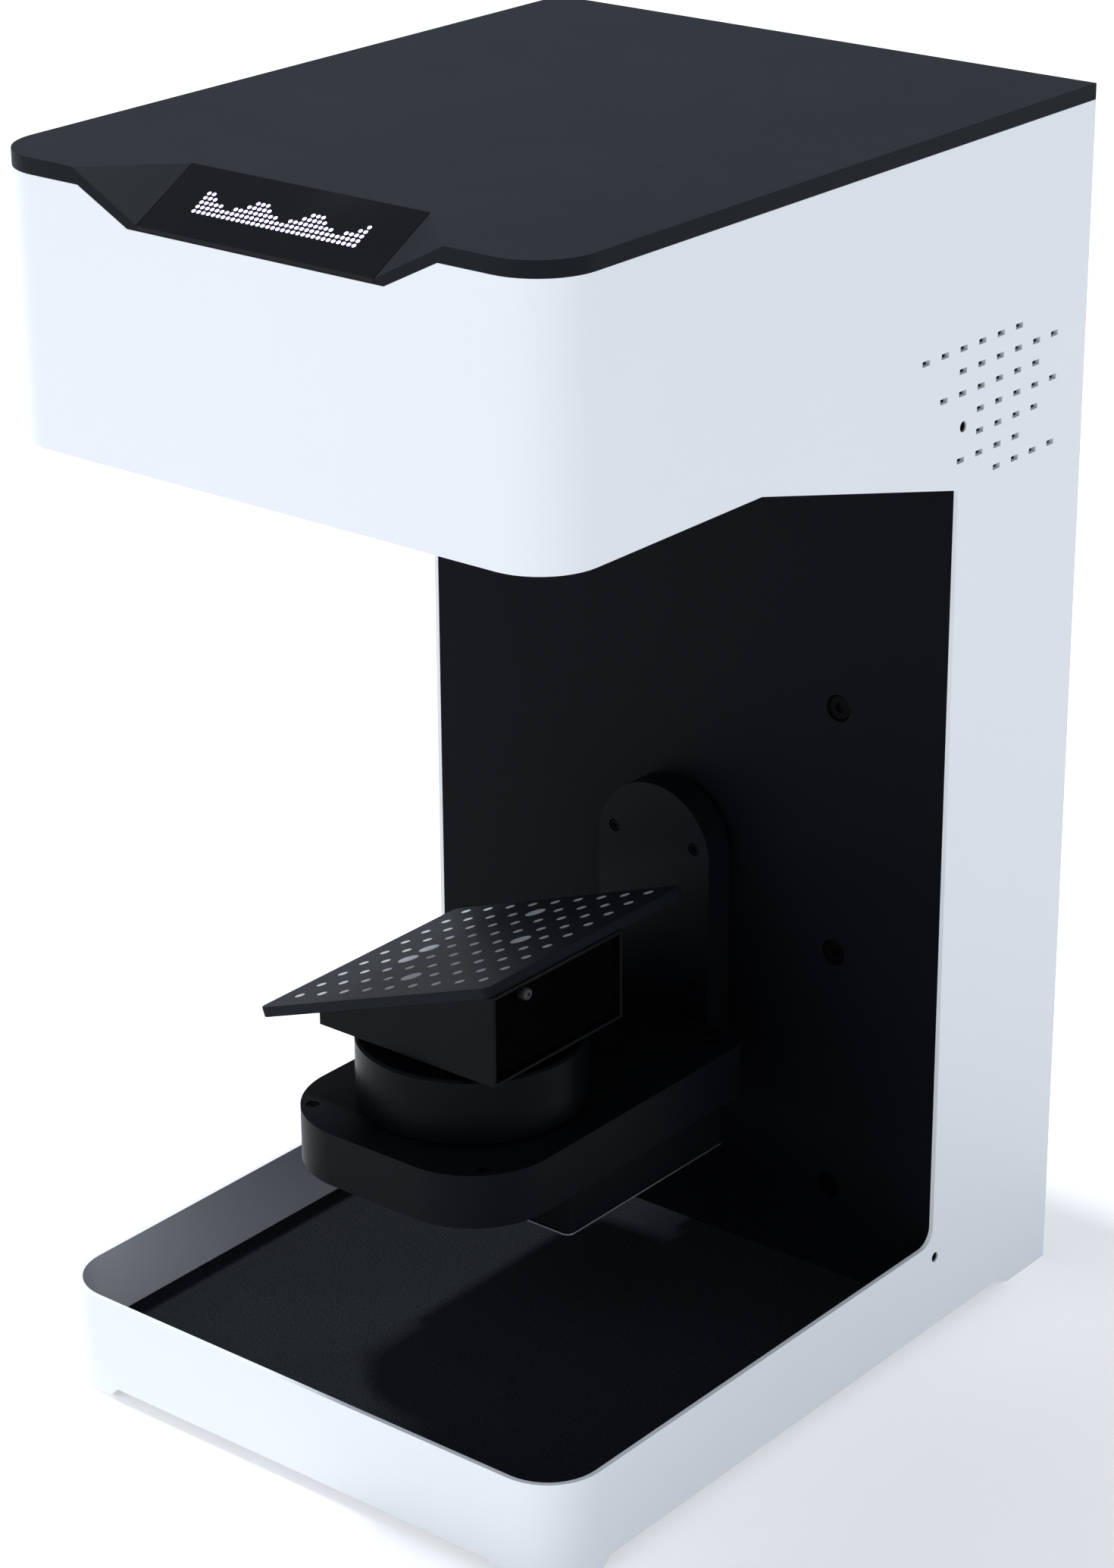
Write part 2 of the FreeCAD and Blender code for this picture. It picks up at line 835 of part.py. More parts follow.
def make_top_lid():
    """The lid plate with the sloping display nose at its front edge."""
    plate = new_body("lid_plate")
    plan = sketch_on(plate, "lid_plan", "XY_Plane", lid_bottom)
    rectangle(plan, (-half_width, front), (half_width, back))
    solid = pad(plate, "lid_solid", plan, S.lid_thickness)
    corners = straight_edges(solid, Z_AXIS, lambda middle: middle.y < 0)
    fillet(plate, "lid_corners", solid, corners, S.corner_radius)

    rise = S.display_drop
    run = S.display_run
    display_z = S.lid_top - S.display_drop
    side_share = (facet_half - S.display_half) / S.display_drop
    reach = 1 + S.overrun / S.display_run
    nose_bottom = lid_bottom - S.notch_depth
    outer = slanted("nose_outer", [
        (-S.notch_bottom_half, nose_bottom),
        (S.notch_bottom_half, nose_bottom),
        (notch_top, lid_bottom),
        (-notch_top, lid_bottom),
    ], front, run, rise)
    ceiling = block("nose_limit", (-half_width, front, nose_bottom), (half_width, back, S.lid_top))
    lip = doc.addObject("Part::Common", "nose_lip")
    lip.Base = outer
    lip.Tool = ceiling
    whole = joined("lid_whole", [plate, lip])
    facets = slanted("nose_facets", [
        (-S.display_half, display_z),
        (S.display_half, display_z),
        (S.display_half + S.facet_overrun * side_share, display_z + S.facet_overrun),
        (-S.display_half - S.facet_overrun * side_share, display_z + S.facet_overrun),
    ], front, run * reach, rise * reach)
    glass_bed = slanted("nose_glass_bed", [
        (-S.display_half, display_z - S.display_glass),
        (S.display_half, display_z - S.display_glass),
        (S.display_half, display_z + S.display_glass),
        (-S.display_half, display_z + S.display_glass),
    ], front, run, rise)
    keep("top_lid", cut("lid_cut", whole, [facets, glass_bed]))


def make_display():
    """The glass of the display and the light board under it."""
    rise = S.display_drop
    run = S.display_run
    display_z = S.lid_top - S.display_drop
    half = S.display_half - S.fit
    keep("display_window", slanted("window_glass", [
        (-half, display_z - S.display_glass),
        (half, display_z - S.display_glass),
        (half, display_z),
        (-half, display_z),
    ], front, run, rise))
    slope = S.display_drop / S.display_run
    start = S.display_board_start
    top = lid_bottom - S.notch_depth + slope * start - S.display_board_gap
    keep("display_board", slanted("display_circuit", [
        (-S.display_board_half, top - S.display_board_thickness),
        (S.display_board_half, top - S.display_board_thickness),
        (S.display_board_half, top),
        (-S.display_board_half, top),
    ], front + start, S.display_board_run, slope * S.display_board_run))


def make_base():
    """The steel tray in the bottom of the shell, its floor plate and rubber feet."""
    rear = frame_end
    tray = new_body("tray_body")
    plan = sketch_on(tray, "tray_plan", "XY_Plane", S.foot_height)
    rectangle(plan, (-loose_half, shell_front), (loose_half, rear))
    solid = pad(tray, "tray_solid", plan, S.tray_height)
    corners = straight_edges(solid, Z_AXIS, lambda middle: middle.y < 0)
    inner_radius = S.corner_radius - S.shell_wall - S.fit
    rounded = fillet(tray, "tray_corners", solid, corners, inner_radius)
    hollow(tray, "tray_walls", rounded, flat_faces(rounded, [Z_AXIS]), S.tray_wall)
    keep("base_tray", tray)

    floor = new_body("floor_body")
    plan = sketch_on(floor, "floor_plan", "XY_Plane", tray_top)
    rectangle(plan, (-loose_half, shell_front), (loose_half, panel_rear))
    solid = pad(floor, "floor_solid", plan, S.floor_thickness)
    corners = straight_edges(solid, Z_AXIS, lambda middle: middle.y < 0)
    fillet(floor, "floor_corners", solid, corners, inner_radius)
    keep("floor_plate", floor)

    feet = []
    for x in (-half_width + S.foot_inset, half_width - S.foot_inset):
        for y in (front + S.foot_inset, back - S.foot_inset):
            foot = doc.addObject("Part::Cone", "foot_%d" % len(feet))
            bind(foot, "Radius1", S.foot_tip_radius)
            bind(foot, "Radius2", S.foot_radius)
            bind(foot, "Height", S.foot_height)
            feet.append(place(foot, x, y, 0))
    keep("rubber_feet", group("foot_set", feet))


def standoff_places(side):
    """Centres of the standoffs on one side: 1 is the side with screws, -1 the side with spigots."""
    return [(side * S.panel_screw_side, S.panel_screw_low + S.panel_screw_pitch * row) for row in range(3)]


def make_rear_panel():
    """The dark upright panel at the back of the bay, with its screws and standoffs."""
    panel = new_body("panel_body")
    face = sketch_on(panel, "panel_outline", "XZ_Plane", -panel_face)
    rectangle(face, (-loose_half, floor_top), (loose_half, S.panel_top))
    pad(panel, "panel_solid", face, S.panel_thickness, reverse=True)
    holes = sketch_on(panel, "panel_holes_outline", "XZ_Plane", -panel_face)
    circle(holes, 0, S.swing_height, S.panel_hole_radius)
    for x, z in standoff_places(1):
        circle(holes, x, z, S.panel_screw_shank + S.fit)
    pocket(panel, "panel_holes", holes)
    sunk = sketch_on(panel, "panel_sunk_outline", "XZ_Plane", -(panel_face - S.overrun))
    for x, z in standoff_places(1):
        circle(sunk, x, z, S.panel_screw_head + S.fit)
    pocket(panel, "panel_sunk_holes", sunk, S.overrun + S.panel_screw_sink)
    blind = sketch_on(panel, "panel_blind_outline", "XZ_Plane", -(panel_rear + S.overrun))
    for x, z in standoff_places(-1):
        circle(blind, x, z, S.panel_screw_shank + S.fit)
    pocket(panel, "panel_blind_holes", blind, S.overrun + S.standoff_spigot + S.fit, reverse=True)
    tapped = []
    for side, way in ((1, "-x"), (-1, "x")):
        for height in (S.side_screw_low, S.side_screw_high):
            name = "panel_edge_hole_%d" % len(tapped)
            tapped.append(rod(name, S.side_screw_radius + S.running_fit,
                              (side * half_width, screw_row, height),
                              S.side_screw_length + S.shell_wall, way))
    keep("rear_panel", cut("panel_cut", panel, tapped))

    screws = []
    seat = panel_face + S.panel_screw_sink
    for x, z in standoff_places(1):
        name = "panel_screw_%d" % len(screws)
        head = rod(name + "_head", S.panel_screw_head, (x, seat, z), S.panel_screw_head_height, "-y")
        shank = rod(name + "_shank", S.panel_screw_shank, (x, seat, z),
                    panel_rear - seat + S.panel_screw_reach, "y")
        screws.append(joined(name, [head, shank]))
    keep("panel_screws", group("panel_screw_set", screws))

    spacers = []
    for side in (-1, 1):
        for x, z in standoff_places(side):
            name = "spacer_%d" % len(spacers)
            bar = hexagon(name + "_bar", S.standoff_radius, (x, panel_rear, z), frame_face - panel_rear, "y")
            foot = rod(name + "_foot", S.panel_screw_shank, (x, frame_face, z), S.standoff_spigot, "y")
            if side < 0:
                nose = rod(name + "_nose", S.panel_screw_shank, (x, panel_rear, z), S.standoff_spigot, "-y")
                spacers.append(joined(name, [bar, foot, nose]))
            else:
                bore = rod(name + "_bore", S.standoff_bore, (x, panel_rear, z),
                           S.panel_screw_reach + S.fit, "y")
                spacers.append(cut(name, joined(name + "_whole", [bar, foot]), [bore]))
    keep("panel_standoffs", group("spacer_set", spacers))


def back_screw_places():
    places = []
    for side in (-1, 1):
        for row in range(3):
            across = side * (half_width - S.back_screw_inset)
            places.append((across, S.back_screw_low + S.back_screw_pitch * row))
    return places


def pinion_drop():
    """Distance between the centres of the swing gear and its pinion."""
    return S.gear_module * (S.gear_teeth + S.pinion_teeth) / 2


def make_column_frame():
    """The folded steel frame that carries the swing drive and the electronics."""
    owner = new_body("frame_body")
    bottom = S.foot_height + S.tray_wall + S.fit
    outer = loose_half - S.tray_wall - S.fit
    inner = outer - S.frame_sheet
    lip = outer - S.frame_return
    lip_face = frame_end - S.tray_wall - S.fit
    plan = sketch_on(owner, "frame_plan", "XY_Plane", bottom)
    outline(plan, [
        (-outer, frame_face),
        (outer, frame_face),
        (outer, lip_face),
        (lip, lip_face),
        (lip, lip_face - S.frame_sheet),
        (inner, lip_face - S.frame_sheet),
        (inner, frame_rear),
        (-inner, frame_rear),
        (-inner, lip_face - S.frame_sheet),
        (-lip, lip_face - S.frame_sheet),
        (-lip, lip_face),
        (-outer, lip_face),
    ])
    pad(owner, "frame_solid", plan, S.frame_top - bottom)
    face = sketch_on(owner, "frame_holes_outline", "XZ_Plane", -frame_rear)
    circle(face, 0, S.swing_height, S.housing_radius + S.fit)
    circle(face, 0, S.swing_height - pinion_drop(), S.motor_pilot + S.fit)
    for x, z in standoff_places(-1) + standoff_places(1):
        circle(face, x, z, S.panel_screw_shank + S.fit)
    depth = S.frame_sheet + S.overrun
    pocket(owner, "frame_holes", face, depth, reverse=True)
    rear = sketch_on(owner, "frame_screw_holes_outline", "XZ_Plane", -(lip_face + S.overrun))
    for x, z in back_screw_places():
        circle(rear, x, z, S.back_screw_shank + S.fit)
    pocket(owner, "frame_screw_holes", rear, S.overrun * 2, reverse=True)
    keep("column_frame", owner)


def make_back_cover():
    """The rear cover with its exhaust slots and cut-outs, and its screws."""
    owner = new_body("back_body")
    face = sketch_on(owner, "back_outline", "XZ_Plane", -cover_rear)
    bottom = S.shell_lift + S.foot_relief
    rectangle(face, (-loose_half, bottom), (loose_half, lid_bottom))
    pad(owner, "back_solid", face, S.cover_sheet)
    opening = sketch_on(owner, "back_openings_outline", "XZ_Plane", -cover_rear)
    for side, half, tall in socket_places():
        rectangle(opening, (side - half - S.fit, S.socket_row - tall - S.fit),
                  (side + half + S.fit, S.socket_row + tall + S.fit))
    for x, z in back_screw_places():
        circle(opening, x, z, S.back_screw_shank + S.fit)
    pocket(owner, "back_openings", opening)
    for name, low in (("high", S.slot_bottom), ("low", S.low_slot_bottom)):
        start = S.slot_pitch * (S.slots - 1) / 2
        slot = sketch_on(owner, name + "_slot_outline", "XZ_Plane", -cover_rear)
        rectangle(slot, (-start - S.slot_width / 2, low),
                  (-start + S.slot_width / 2, low + S.slot_height))
        row = pocket(owner, name + "_slot", slot)
        repeated(owner, name + "_slots", row, slot, S.slots, start * 2)
    keep("back_cover", owner)

    screws = []
    for number, (x, z) in enumerate(back_screw_places()):
        name = "back_screw_%d" % number
        head = rod(name + "_head", S.back_screw_head, (x, cover_rear, z), S.back_screw_head_height, "y")
        shank = rod(name + "_shank", S.back_screw_shank, (x, cover_rear, z), S.back_screw_reach, "-y")
        screws.append(joined(name, [head, shank]))
    keep("back_cover_screws", group("back_screw_set", screws))


# Sockets and switch in the back cover

def socket_places():
    """Centre, half width and half height of the cut-outs along the socket row."""
    return [
        (-S.inlet_side, S.inlet_half_width, S.inlet_half_height),
        (-S.switch_side, S.switch_half_width, S.switch_half_height),
        (S.usb_side, S.usb_half_width, S.usb_half_height),
    ]


def socket_case(name, x, half, tall, depth, wall, recess):
    """A flanged case that snaps into the cover, hollow from outside."""
    lip = S.socket_lip
    z = S.socket_row
    flange = block(name + "_flange", (x - half - lip, cover_rear, z - tall - lip),
                   (x + half + lip, cover_rear + S.socket_flange, z + tall + lip))
    case = block(name + "_case", (x - half, cover_rear - depth, z - tall), (x + half, cover_rear, z + tall))
    well = block(name + "_well", (x - half + wall, cover_rear - recess, z - tall + wall),
                 (x + half - wall, cover_rear + S.overrun, z + tall - wall))
    return cut(name + "_shell", joined(name + "_solid", [flange, case]), [well])


def make_power_inlet():
    x = -S.inlet_side
    case = socket_case("inlet", x, S.inlet_half_width, S.inlet_half_height, S.inlet_depth,
                       S.inlet_wall, S.inlet_recess)
    items = [case]
    for step, lift in ((-1, 0), (0, 1), (1, 0)):
        centre = x + S.inlet_pin_pitch * step
        level = S.socket_row + S.inlet_pin_half_height * lift
        items.append(block("inlet_pin_%d" % len(items),
                           (centre - S.inlet_pin_half_width, cover_rear - S.inlet_recess,
                            level - S.inlet_pin_half_height),
                           (centre + S.inlet_pin_half_width, cover_rear - S.inlet_wall,
                            level + S.inlet_pin_half_height)))
    keep("power_inlet", joined("inlet_whole", items))


def make_usb_socket():
    x = S.usb_side
    case = socket_case("usb", x, S.usb_half_width, S.usb_half_height, S.usb_depth,
                       S.usb_wall, S.usb_depth - S.usb_wall)
    tongue = block("usb_tongue",
                   (x - S.usb_tongue_half, cover_rear - S.usb_depth, S.socket_row - S.usb_wall),
                   (x + S.usb_tongue_half, cover_rear - S.usb_wall, S.socket_row + S.usb_wall))
    keep("usb_socket", joined("usb_whole", [case, tongue]))


def make_power_switch():
    x = -S.switch_side
    z = S.socket_row
    case = socket_case("switch", x, S.switch_half_width, S.switch_half_height, S.switch_depth,
                       S.switch_wall, S.switch_depth - S.switch_wall)
    pin_y = cover_rear - S.rocker_depth / 2
    half = S.switch_half_width - S.switch_wall
    pivot = rod("switch_pin", S.rocker_pin, (x - half, pin_y, z), half * 2, "x")
    keep("switch_case", joined("switch_whole", [case, pivot]))

    wide = half - S.rocker_gap
    tall = (S.switch_half_height - S.switch_wall - S.rocker_gap) * cosine(S.rocker_rest_angle) - S.rocker_gap
    owner = new_body("rocker_body")
    profile = sketch_on(owner, "rocker_profile", "YZ_Plane")
    outline(profile, [
        (-S.rocker_depth / 2, -tall / 2),
        (-S.rocker_depth / 2, tall / 2),
        (S.rocker_rise + S.rocker_depth / 4, tall),
        (S.rocker_depth / 4, 0),
        (S.rocker_rise + S.rocker_depth / 4, -tall),
    ])
    pad(owner, "rocker_solid", profile, wide * 2, middle=True)
    bore = sketch_on(owner, "rocker_bore_outline", "YZ_Plane")
    circle(bore, 0, 0, S.rocker_pin + S.running_fit)
    pocket(owner, "rocker_bore", bore)
    keep("switch_rocker", place(owner, x, pin_y, z, X_AXIS, S.rocker_rest_angle))


# Gears

def involute(radius, base):
    """The involute angle at a radius over the base circle."""
    if radius <= base:
        return 0.0
    angle = math.acos(base / radius)
    return math.tan(angle) - angle


def gear_points(teeth, module, start):
    """Points of one closed gear outline, with a tooth centred on the start angle."""
    pitch = teeth * module.number / 2
    base = pitch * math.cos(math.radians(TOOTH_PRESSURE_ANGLE))
    tip = pitch + module.number * TOOTH_TIP_SHARE
    root = pitch - module.number * TOOTH_ROOT_SHARE
    half_tooth = math.pi / (2 * teeth) - S.tooth_backlash.number / (2 * pitch)
    flank = []
    for radius in (root, pitch, tip):
        spread = half_tooth + involute(pitch, base) - involute(radius, base)
        flank.append((radius, spread))
    points = []
    for tooth in range(teeth):
        centre = start + 2 * math.pi * tooth / teeth
        for radius, spread in flank:
            turn = centre - spread
            points.append(FreeCAD.Vector(radius * math.cos(turn), radius * math.sin(turn), 0))
        for radius, spread in reversed(flank):
            turn = centre + spread
            points.append(FreeCAD.Vector(radius * math.cos(turn), radius * math.sin(turn), 0))
    return points


def gear(name, teeth, module, width, bore, start, web=None):
    """A spur gear about Z, with a bore and, where a web is given, a thinner middle."""
    teeth = int(teeth.number)
    points = gear_points(teeth, module, start)
    wire = Part.makePolygon(points + points[:1])
    shape = Part.Face(wire).extrude(FreeCAD.Vector(0, 0, width.number))
    hole = Part.makeCylinder(bore.number, width.number)
    shape = shape.cut(hole)
    if web is not None:
        rim = teeth * module.number / 2 - S.gear_rim.number
        depth = (width.number - web.number) / 2
        recess = Part.makeCylinder(rim, depth).cut(Part.makeCylinder(S.gear_hub.number, depth))
        shape = shape.cut(recess)
        recess.translate(FreeCAD.Vector(0, 0, width.number - depth))
        shape = shape.cut(recess)
    item = doc.addObject("Part::Feature", name)
    item.Shape = shape
    return item


# Swing drive

def ring_profile(inner, outer, width, base):
    """Half profile of a sealed ball bearing."""
    top = base + width
    return [(inner, base), (outer, base), (outer, top), (inner, top)]


def make_swing_drive():
    """The shaft of the arm with its bearings, gear, pinion and motor."""
    start = frame_face - S.housing_nose
    end = start + S.housing_length
    bore = S.bearing_outer
    flange_rear = frame_rear + S.housing_flange_thickness
    housing = turned("bearing_housing_body", [
        (bore, 0),
        (S.housing_radius, 0),
        (S.housing_radius, frame_rear - start),
        (S.housing_flange, frame_rear - start),
        (S.housing_flange, flange_rear - start),
        (S.housing_radius, flange_rear - start),
        (S.housing_radius, S.housing_length),
        (bore, S.housing_length),
    ])
    turned_to(housing, "y")
    keep("swing_bearing_housing", place(housing, 0, start, S.swing_height))

    rings = []
    inner = S.shaft_radius + S.running_fit
    outer = S.bearing_outer - S.running_fit / 2
    for y in (start, end - S.bearing_width):
        ring = turned("swing_ring_%d" % len(rings), ring_profile(inner, outer, S.bearing_width, 0))
        turned_to(ring, "y")
        rings.append(place(ring, 0, y, S.swing_height))
    keep("swing_bearings", group("swing_ring_set", rings))

    shaft_start = bracket_rear
    gear_face = panel_rear + S.gear_gap
    shaft = turned("swing_shaft_body", [
        (0, 0),
        (S.shaft_flange, 0),
        (S.shaft_flange, S.shaft_flange_thickness),
        (S.shaft_shoulder, S.shaft_flange_thickness),
        (S.shaft_shoulder, gear_face - shaft_start),
        (S.shaft_radius, gear_face - shaft_start),
        (S.shaft_radius, frame_rear + S.shaft_tail - shaft_start),
        (0, frame_rear + S.shaft_tail - shaft_start),
    ])
    turned_to(shaft, "y")
    keep("swing_shaft", place(shaft, 0, shaft_start, S.swing_height))

    # Laid along +Y, the gear's own X stays along X and its own Y points down.
    wheel = gear("swing_wheel", S.gear_teeth, S.gear_module, S.gear_width,
                 S.shaft_radius + S.running_fit / 2, math.pi / 2, S.gear_web)
    turned_to(wheel, "y")
    keep("swing_gear", place(wheel, 0, gear_face, S.swing_height))
    pinion_z = S.swing_height - pinion_drop()
    half_step = math.pi / int(S.pinion_teeth.number)
    small = gear("swing_small_wheel", S.pinion_teeth, S.gear_module,
                 S.gear_width + S.pinion_extra, S.motor_shaft, -math.pi / 2 + half_step)
    turned_to(small, "y")
    keep("swing_pinion", place(small, 0, gear_face - S.pinion_extra / 2, pinion_z))

    motor = motor_solid("swing_motor", S.motor_length, S.motor_pilot_height)
    turned_to(motor, "y")
    keep("swing_motor", place(motor, 0, frame_rear, pinion_z))
    reach = frame_rear - gear_face + S.pinion_extra + S.motor_bore_depth
    keep("swing_motor_shaft", rod("swing_motor_rod", S.motor_shaft,
                                  (0, gear_face - S.pinion_extra, pinion_z), reach, "y"))


def motor_solid(name, length, pilot):
    """A square stepper motor about Z, with its pilot below and the bore for its shaft."""
    owner = new_body(name + "_body")
    half = S.motor_side / 2
    face = sketch_on(owner, name + "_outline", "XY_Plane")
    rectangle(face, (-half, -half), (half, half))
    solid = pad(owner, name + "_solid", face, length)
    corners = straight_edges(solid, Z_AXIS, lambda middle: True)
    chamfer = owner.newObject("PartDesign::Chamfer", name + "_corners")
    chamfer.Base = (solid, corners)
    bind(chamfer, "Size", S.motor_corner)
    if pilot is not None:
        ring = sketch_on(owner, name + "_pilot_outline", "XY_Plane")
        circle(ring, 0, 0, S.motor_pilot)
        pad(owner, name + "_pilot", ring, pilot, reverse=True)
    bore = sketch_on(owner, name + "_bore_outline", "XY_Plane", -S.overrun)
    circle(bore, 0, 0, S.motor_shaft + S.running_fit)
    pocket(owner, name + "_bore", bore, S.overrun + S.motor_bore_depth + S.fit, reverse=True)
    return owner


# Swinging arm

bracket_front = panel_face - S.arm_front + S.bracket_margin
bracket_bottom = S.arm_bottom + S.arm_plate + S.fit
bracket_top = bracket_bottom + S.bracket_thickness
upright_front = panel_face - S.arch_front + S.arch_wall + S.fit
bracket_rear = upright_front + S.bracket_upright
arm_top = S.arm_bottom + S.arm_thickness
arm_inner_top = arm_top - S.arm_wall
table_y = panel_face - S.table_depth
table_pinion_y = table_y + S.table_gear_module * (S.gear_teeth + S.pinion_teeth) / 2


def arm_screw_places():
    places = []
    for side in (-1, 1):
        places.append((side * S.arm_screw_front_side, panel_face - S.arm_screw_front_depth))
        places.append((side * S.arm_screw_back_side, panel_face - S.arm_screw_back_depth))
    return places


def make_arm_bracket():
    """The bent aluminium plate that carries the turntable and hangs on the swing shaft."""
    owner = new_body("bracket_body")
    neck_start = panel_face - S.arm_back - S.arm_wall - S.bracket_neck_run - S.bracket_margin
    plan = sketch_on(owner, "bracket_plan", "XY_Plane", bracket_bottom)
    outline(plan, [
        (-S.bracket_half + S.bracket_neck_half, bracket_front),
        (S.bracket_half - S.bracket_neck_half, bracket_front),
        (S.bracket_half, bracket_front + S.bracket_neck_half),
        (S.bracket_half, neck_start),
        (S.bracket_neck_half, neck_start + S.bracket_neck_run),
        (S.bracket_neck_half, bracket_rear),
        (-S.bracket_neck_half, bracket_rear),
        (-S.bracket_neck_half, neck_start + S.bracket_neck_run),
        (-S.bracket_half, neck_start),
        (-S.bracket_half, bracket_front + S.bracket_neck_half),
    ])
    pad(owner, "bracket_flat", plan, S.bracket_thickness)
    face = sketch_on(owner, "bracket_upright_outline", "XZ_Plane", -bracket_rear)
    arch(face, S.bracket_neck_half, bracket_bottom, S.swing_height)
    upright = pad(owner, "bracket_upright", face, S.bracket_upright)
    bend = straight_edges(upright, X_AXIS, lambda middle:
                          at_place(middle.z, bracket_top) and at_place(middle.y, upright_front))
    fillet(owner, "bracket_bend_round", upright, bend, S.bracket_bend)
    holes = sketch_on(owner, "bracket_holes_outline", "XY_Plane", bracket_bottom - S.overrun)
    circle(holes, 0, table_y, S.foot_bearing_outer)
    circle(holes, 0, table_pinion_y, S.motor_shaft + S.table_gear_lift)
    for x, y in arm_screw_places():
        circle(holes, x, y, S.arm_screw_radius + S.running_fit)
    pocket(owner, "bracket_holes", holes, S.overrun + S.bracket_thickness + S.fit, reverse=True)
    taps = sketch_on(owner, "bracket_taps_outline", "XZ_Plane", -(upright_front - S.overrun))
    for x in (-S.arch_screw_side, S.arch_screw_side):
        for z in (S.arch_screw_low, S.arch_screw_high):
            circle(taps, x, z, S.arm_screw_radius + S.running_fit)
    pocket(owner, "bracket_taps", taps, S.overrun + S.arch_screw_reach)
    keep("arm_bracket", owner)


def make_arm_cover():
    """The rounded cap over the arm, open below and at the neck of the bracket."""
    owner = new_body("arm_body")
    plan = sketch_on(owner, "arm_plan", "XY_Plane", S.arm_bottom)
    rectangle(plan, (-S.arm_half, panel_face - S.arm_front), (S.arm_half, panel_face - S.arm_back))
    solid = pad(owner, "arm_solid", plan, S.arm_thickness)
    middle_y = (panel_face - (S.arm_front + S.arm_back) / 2).number
    near = straight_edges(solid, Z_AXIS, lambda middle: middle.y < middle_y)
    noses = fillet(owner, "arm_front_corners", solid, near, S.arm_front_radius)
    far = straight_edges(noses, Z_AXIS, lambda middle: at_place(middle.y, panel_face - S.arm_back))
    tails = fillet(owner, "arm_back_corners", noses, far, S.arm_back_radius)
    walls = hollow(owner, "arm_walls", tails, flat_faces(tails, [-Z_AXIS]), S.arm_wall)
    neck = sketch_on(owner, "arm_neck_outline", "XZ_Plane", -(panel_face - S.arm_back + S.overrun))
    rectangle(neck, (-S.bracket_neck_half - S.fit, S.arm_bottom - S.overrun),
              (S.bracket_neck_half + S.fit, bracket_top + S.fit))
    pocket(owner, "arm_neck", neck, S.overrun + S.arm_wall + S.fit, reverse=True)
    top = sketch_on(owner, "arm_holes_outline", "XY_Plane", arm_top + S.overrun)
    circle(top, 0, table_y, S.spindle_radius + S.arm_edge_round)
    for x, y in arm_screw_places():
        circle(top, x, y, S.arm_screw_radius + S.running_fit)
    pocket(owner, "arm_holes", top, S.overrun + S.arm_wall + S.fit)
    sunk = sketch_on(owner, "arm_sunk_outline", "XY_Plane", arm_top + S.overrun)
    for x, y in arm_screw_places():
        circle(sunk, x, y, S.arm_screw_head + S.fit)
    pocket(owner, "arm_sunk_holes", sunk, S.overrun + S.arm_screw_sink)
    keep("arm_cover", owner)

    plate = new_body("arm_plate_body")
    gap = S.arm_wall + S.fit
    plan = sketch_on(plate, "arm_plate_plan", "XY_Plane", S.arm_bottom)
    rectangle(plan, (-S.arm_half + gap, panel_face - S.arm_front + gap),
              (S.arm_half - gap, panel_face - S.arm_back - gap))
    solid = pad(plate, "arm_plate_solid", plan, S.arm_plate)
    near = straight_edges(solid, Z_AXIS, lambda middle: middle.y < middle_y)
    noses = fillet(plate, "arm_plate_front", solid, near, S.arm_front_radius - gap)
    far = straight_edges(noses, Z_AXIS, lambda middle: middle.y > middle_y)
    tails = fillet(plate, "arm_plate_back", noses, far, S.arm_back_radius - gap)
    port = sketch_on(plate, "arm_plate_port_outline", "XY_Plane", S.arm_bottom - S.overrun)
    side = S.motor_side / 2 + S.fit
    rectangle(port, (-side, table_pinion_y - side), (side, table_pinion_y + side))
    pocket(plate, "arm_plate_port", port, S.overrun + S.arm_plate + S.fit, reverse=True)
    keep("arm_bottom_plate", plate)

    screws = []
    seat = arm_top - S.arm_screw_sink
    for x, y in arm_screw_places():
        name = "arm_screw_%d" % len(screws)
        head = rod(name + "_head", S.arm_screw_head, (x, y, seat), S.arm_screw_head_height)
        shank = rod(name + "_shank", S.arm_screw_radius, (x, y, seat),
                    seat - S.arm_bottom - S.arm_plate - S.bracket_thickness / 2, "-z")
        screws.append(joined(name, [head, shank]))
    keep("arm_screws", group("arm_screw_set", screws))


